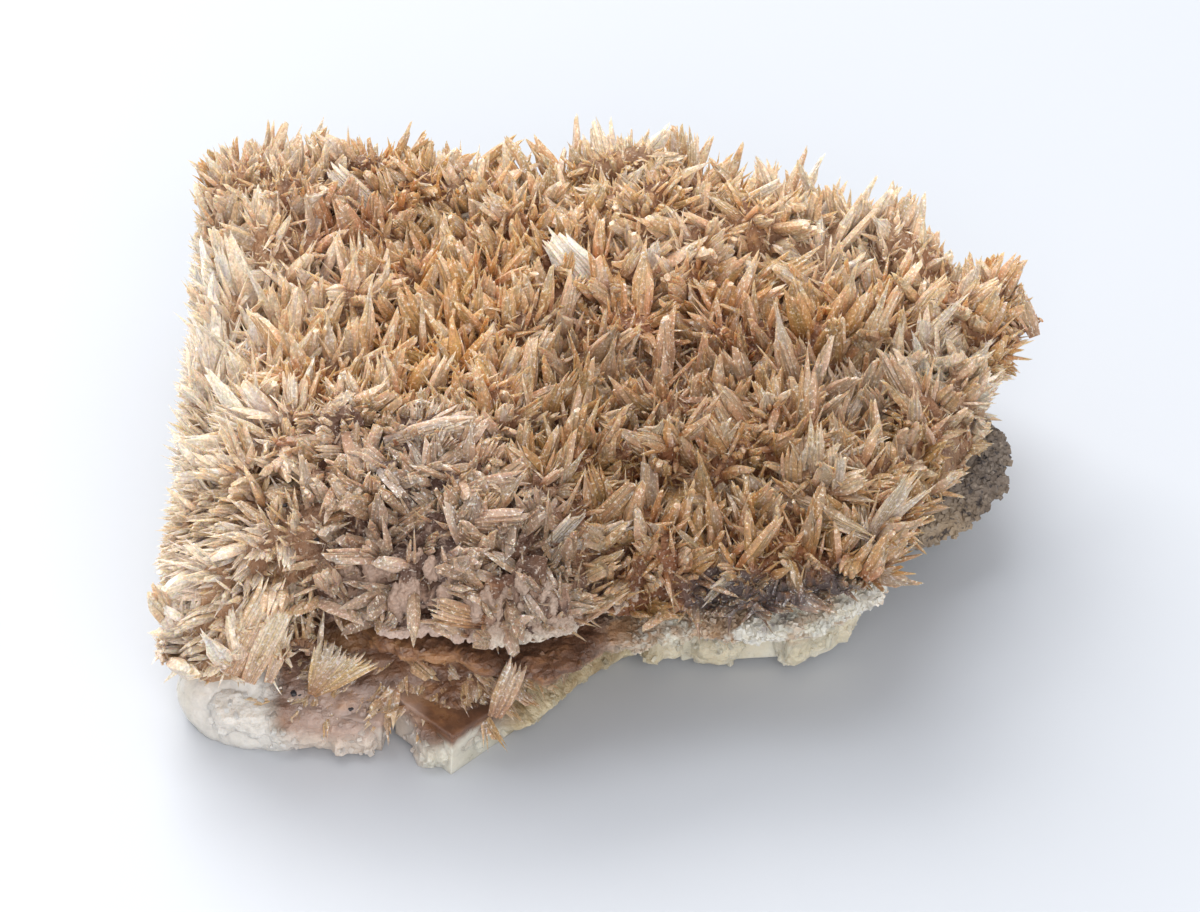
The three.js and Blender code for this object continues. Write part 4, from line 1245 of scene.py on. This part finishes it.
class BuildShelfBlades(bpy.types.Operator):
    """The laths, the spray and the single blade on the shelf"""
    bl_idname = "inesite.shelf_blades"
    bl_label = "Shelf blades"

    def execute(self, context):
        rng = np.random.default_rng(context.scene.blade_sizes.seed + 1)
        finish = inesite_finish(context.scene.stone_colours, "inesite_shelf")
        add_piece("shelf_laths", shelf_laths(rng).mesh("shelf_laths"), finish)
        for node, grown in (("shelf_spray", resting_spray), ("shelf_blade", resting_blade)):
            grove = grown(rng, *(np.array(corner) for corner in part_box(node)))
            piece = add_piece(node + "_blades", grove.mesh(node + "_blades"), finish)
            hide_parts(node)
        return {"FINISHED"}


class BuildQuartz(bpy.types.Operator):
    """The quartz and calcite bed with its ledge, shelf, crystals and sugary grains"""
    bl_idname = "inesite.quartz"
    bl_label = "Quartz bed"

    def execute(self, context):
        rng = np.random.default_rng(context.scene.blade_sizes.seed + 2)
        colours = context.scene.stone_colours
        mesh = filled_foot(remade("quartz_bed", 0.27 * MM, 1))
        roughened(mesh, [(1.7 * MM, 0.3 * MM, True), (0.6 * MM, 0.12 * MM, True)])
        piece = add_piece("quartz", mesh, quartz_finish(colours, "quartz"))
        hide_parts("quartz_bed")
        finish = quartz_finish(colours, "quartz_crystals", crystals=True)
        add_piece("bed_crystals", bed_crystals(), finish)
        add_piece("white_lumps", white_lumps(), finish)
        add_piece("sugary_grains", grains(mesh, rng, *SUGAR, sugary), finish)
        return {"FINISHED"}


class BuildRock(bpy.types.Operator):
    """The dark rock knob under the right end, and the black specks"""
    bl_idname = "inesite.rock"
    bl_label = "Dark rock"

    def execute(self, context):
        rng = np.random.default_rng(context.scene.blade_sizes.seed + 3)
        finish = rock_finish(context.scene.stone_colours)
        mesh = settled(remade("host_rock", 0.2 * MM, 3), -0.2 * MM, 0.35 * MM)
        roughened(mesh, [(2.2 * MM, 0.5 * MM, False), (0.8 * MM, 0.3 * MM, True)])
        piece = add_piece("rock", mesh, finish)
        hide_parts("host_rock")
        add_piece("rock_crumbs", grains(mesh, rng, *CRUMBS, crumbly), finish)
        add_piece("black_specks", black_specks(rng), speck_finish())
        return {"FINISHED"}


class BuildStage(bpy.types.Operator):
    """Pale floor, soft light and the camera"""
    bl_idname = "inesite.stage"
    bl_label = "Stage"

    def execute(self, context):
        sizes = context.scene.stage_sizes
        bm = bmesh.new()
        bmesh.ops.create_grid(bm, x_segments=1, y_segments=1, size=FLOOR_HALF)
        floor = linked("floor", as_mesh(bm, "floor"))
        f = Finish("floor")
        floor.data.materials.append(f.done({"Base Color": (*sizes.floor, 1), "Roughness": 0.45}))

        aim = Vector(sizes.aim)
        back = Vector((0, -math.cos(sizes.elevation), math.sin(sizes.elevation)))
        camera = bpy.data.cameras.new("camera")
        camera.lens, camera.sensor_width = sizes.lens, SENSOR
        camera.clip_start, camera.clip_end = 0.01, 10
        eye = linked("camera", camera)
        eye.location = aim + back * sizes.distance
        eye.rotation_euler = (-back).to_track_quat("-Z", "Y").to_euler()
        context.scene.camera = eye

        for name, place, size, power, colour in LAMPS:
            light = bpy.data.lights.new(name, "AREA")
            light.size, light.energy, light.color = size, power, colour
            lamp = linked(name, light)
            lamp.location = place
            lamp.rotation_euler = (aim - Vector(place)).to_track_quat("-Z", "Y").to_euler()
        world = bpy.data.worlds.new("room")
        world.use_nodes = True
        sky = world.node_tree.nodes["Background"]
        sky.inputs["Color"].default_value = ROOM_COLOUR
        sky.inputs["Strength"].default_value = ROOM_LIGHT
        context.scene.world = world
        context.scene.view_settings.view_transform = "Standard"
        return {"FINISHED"}


class SpecimenPanel(bpy.types.Panel):
    """Everything that builds the specimen"""
    bl_idname = "VIEW3D_PT_inesite"
    bl_label = "Inesite specimen"
    bl_space_type = "VIEW_3D"
    bl_region_type = "UI"
    bl_category = "Inesite"

    def draw(self, context):
        for operator in OPERATORS:
            self.layout.operator(operator.bl_idname)
        for group in (context.scene.blade_sizes, context.scene.stone_colours, context.scene.stage_sizes):
            for key in group.__annotations__:
                self.layout.prop(group, key)


OPERATORS = (BuildCrust, BuildShelfBlades, BuildQuartz, BuildRock, BuildStage)
GROUPS = {"blade_sizes": BladeSizes, "stone_colours": Colours, "stage_sizes": StageSizes}


def register():
    for kind in (*GROUPS.values(), *OPERATORS, SpecimenPanel):
        bpy.utils.register_class(kind)
    for key, kind in GROUPS.items():
        setattr(bpy.types.Scene, key, bpy.props.PointerProperty(type=kind))


def unregister():
    for key in GROUPS:
        delattr(bpy.types.Scene, key)
    for kind in (SpecimenPanel, *reversed(OPERATORS), *GROUPS.values()):
        bpy.utils.unregister_class(kind)


def main():
    register()
    bpy.ops.inesite.quartz()
    bpy.ops.inesite.rock()
    bpy.ops.inesite.crust()
    bpy.ops.inesite.shelf_blades()
    bpy.ops.inesite.stage()


if __name__ == "__main__":
    main()
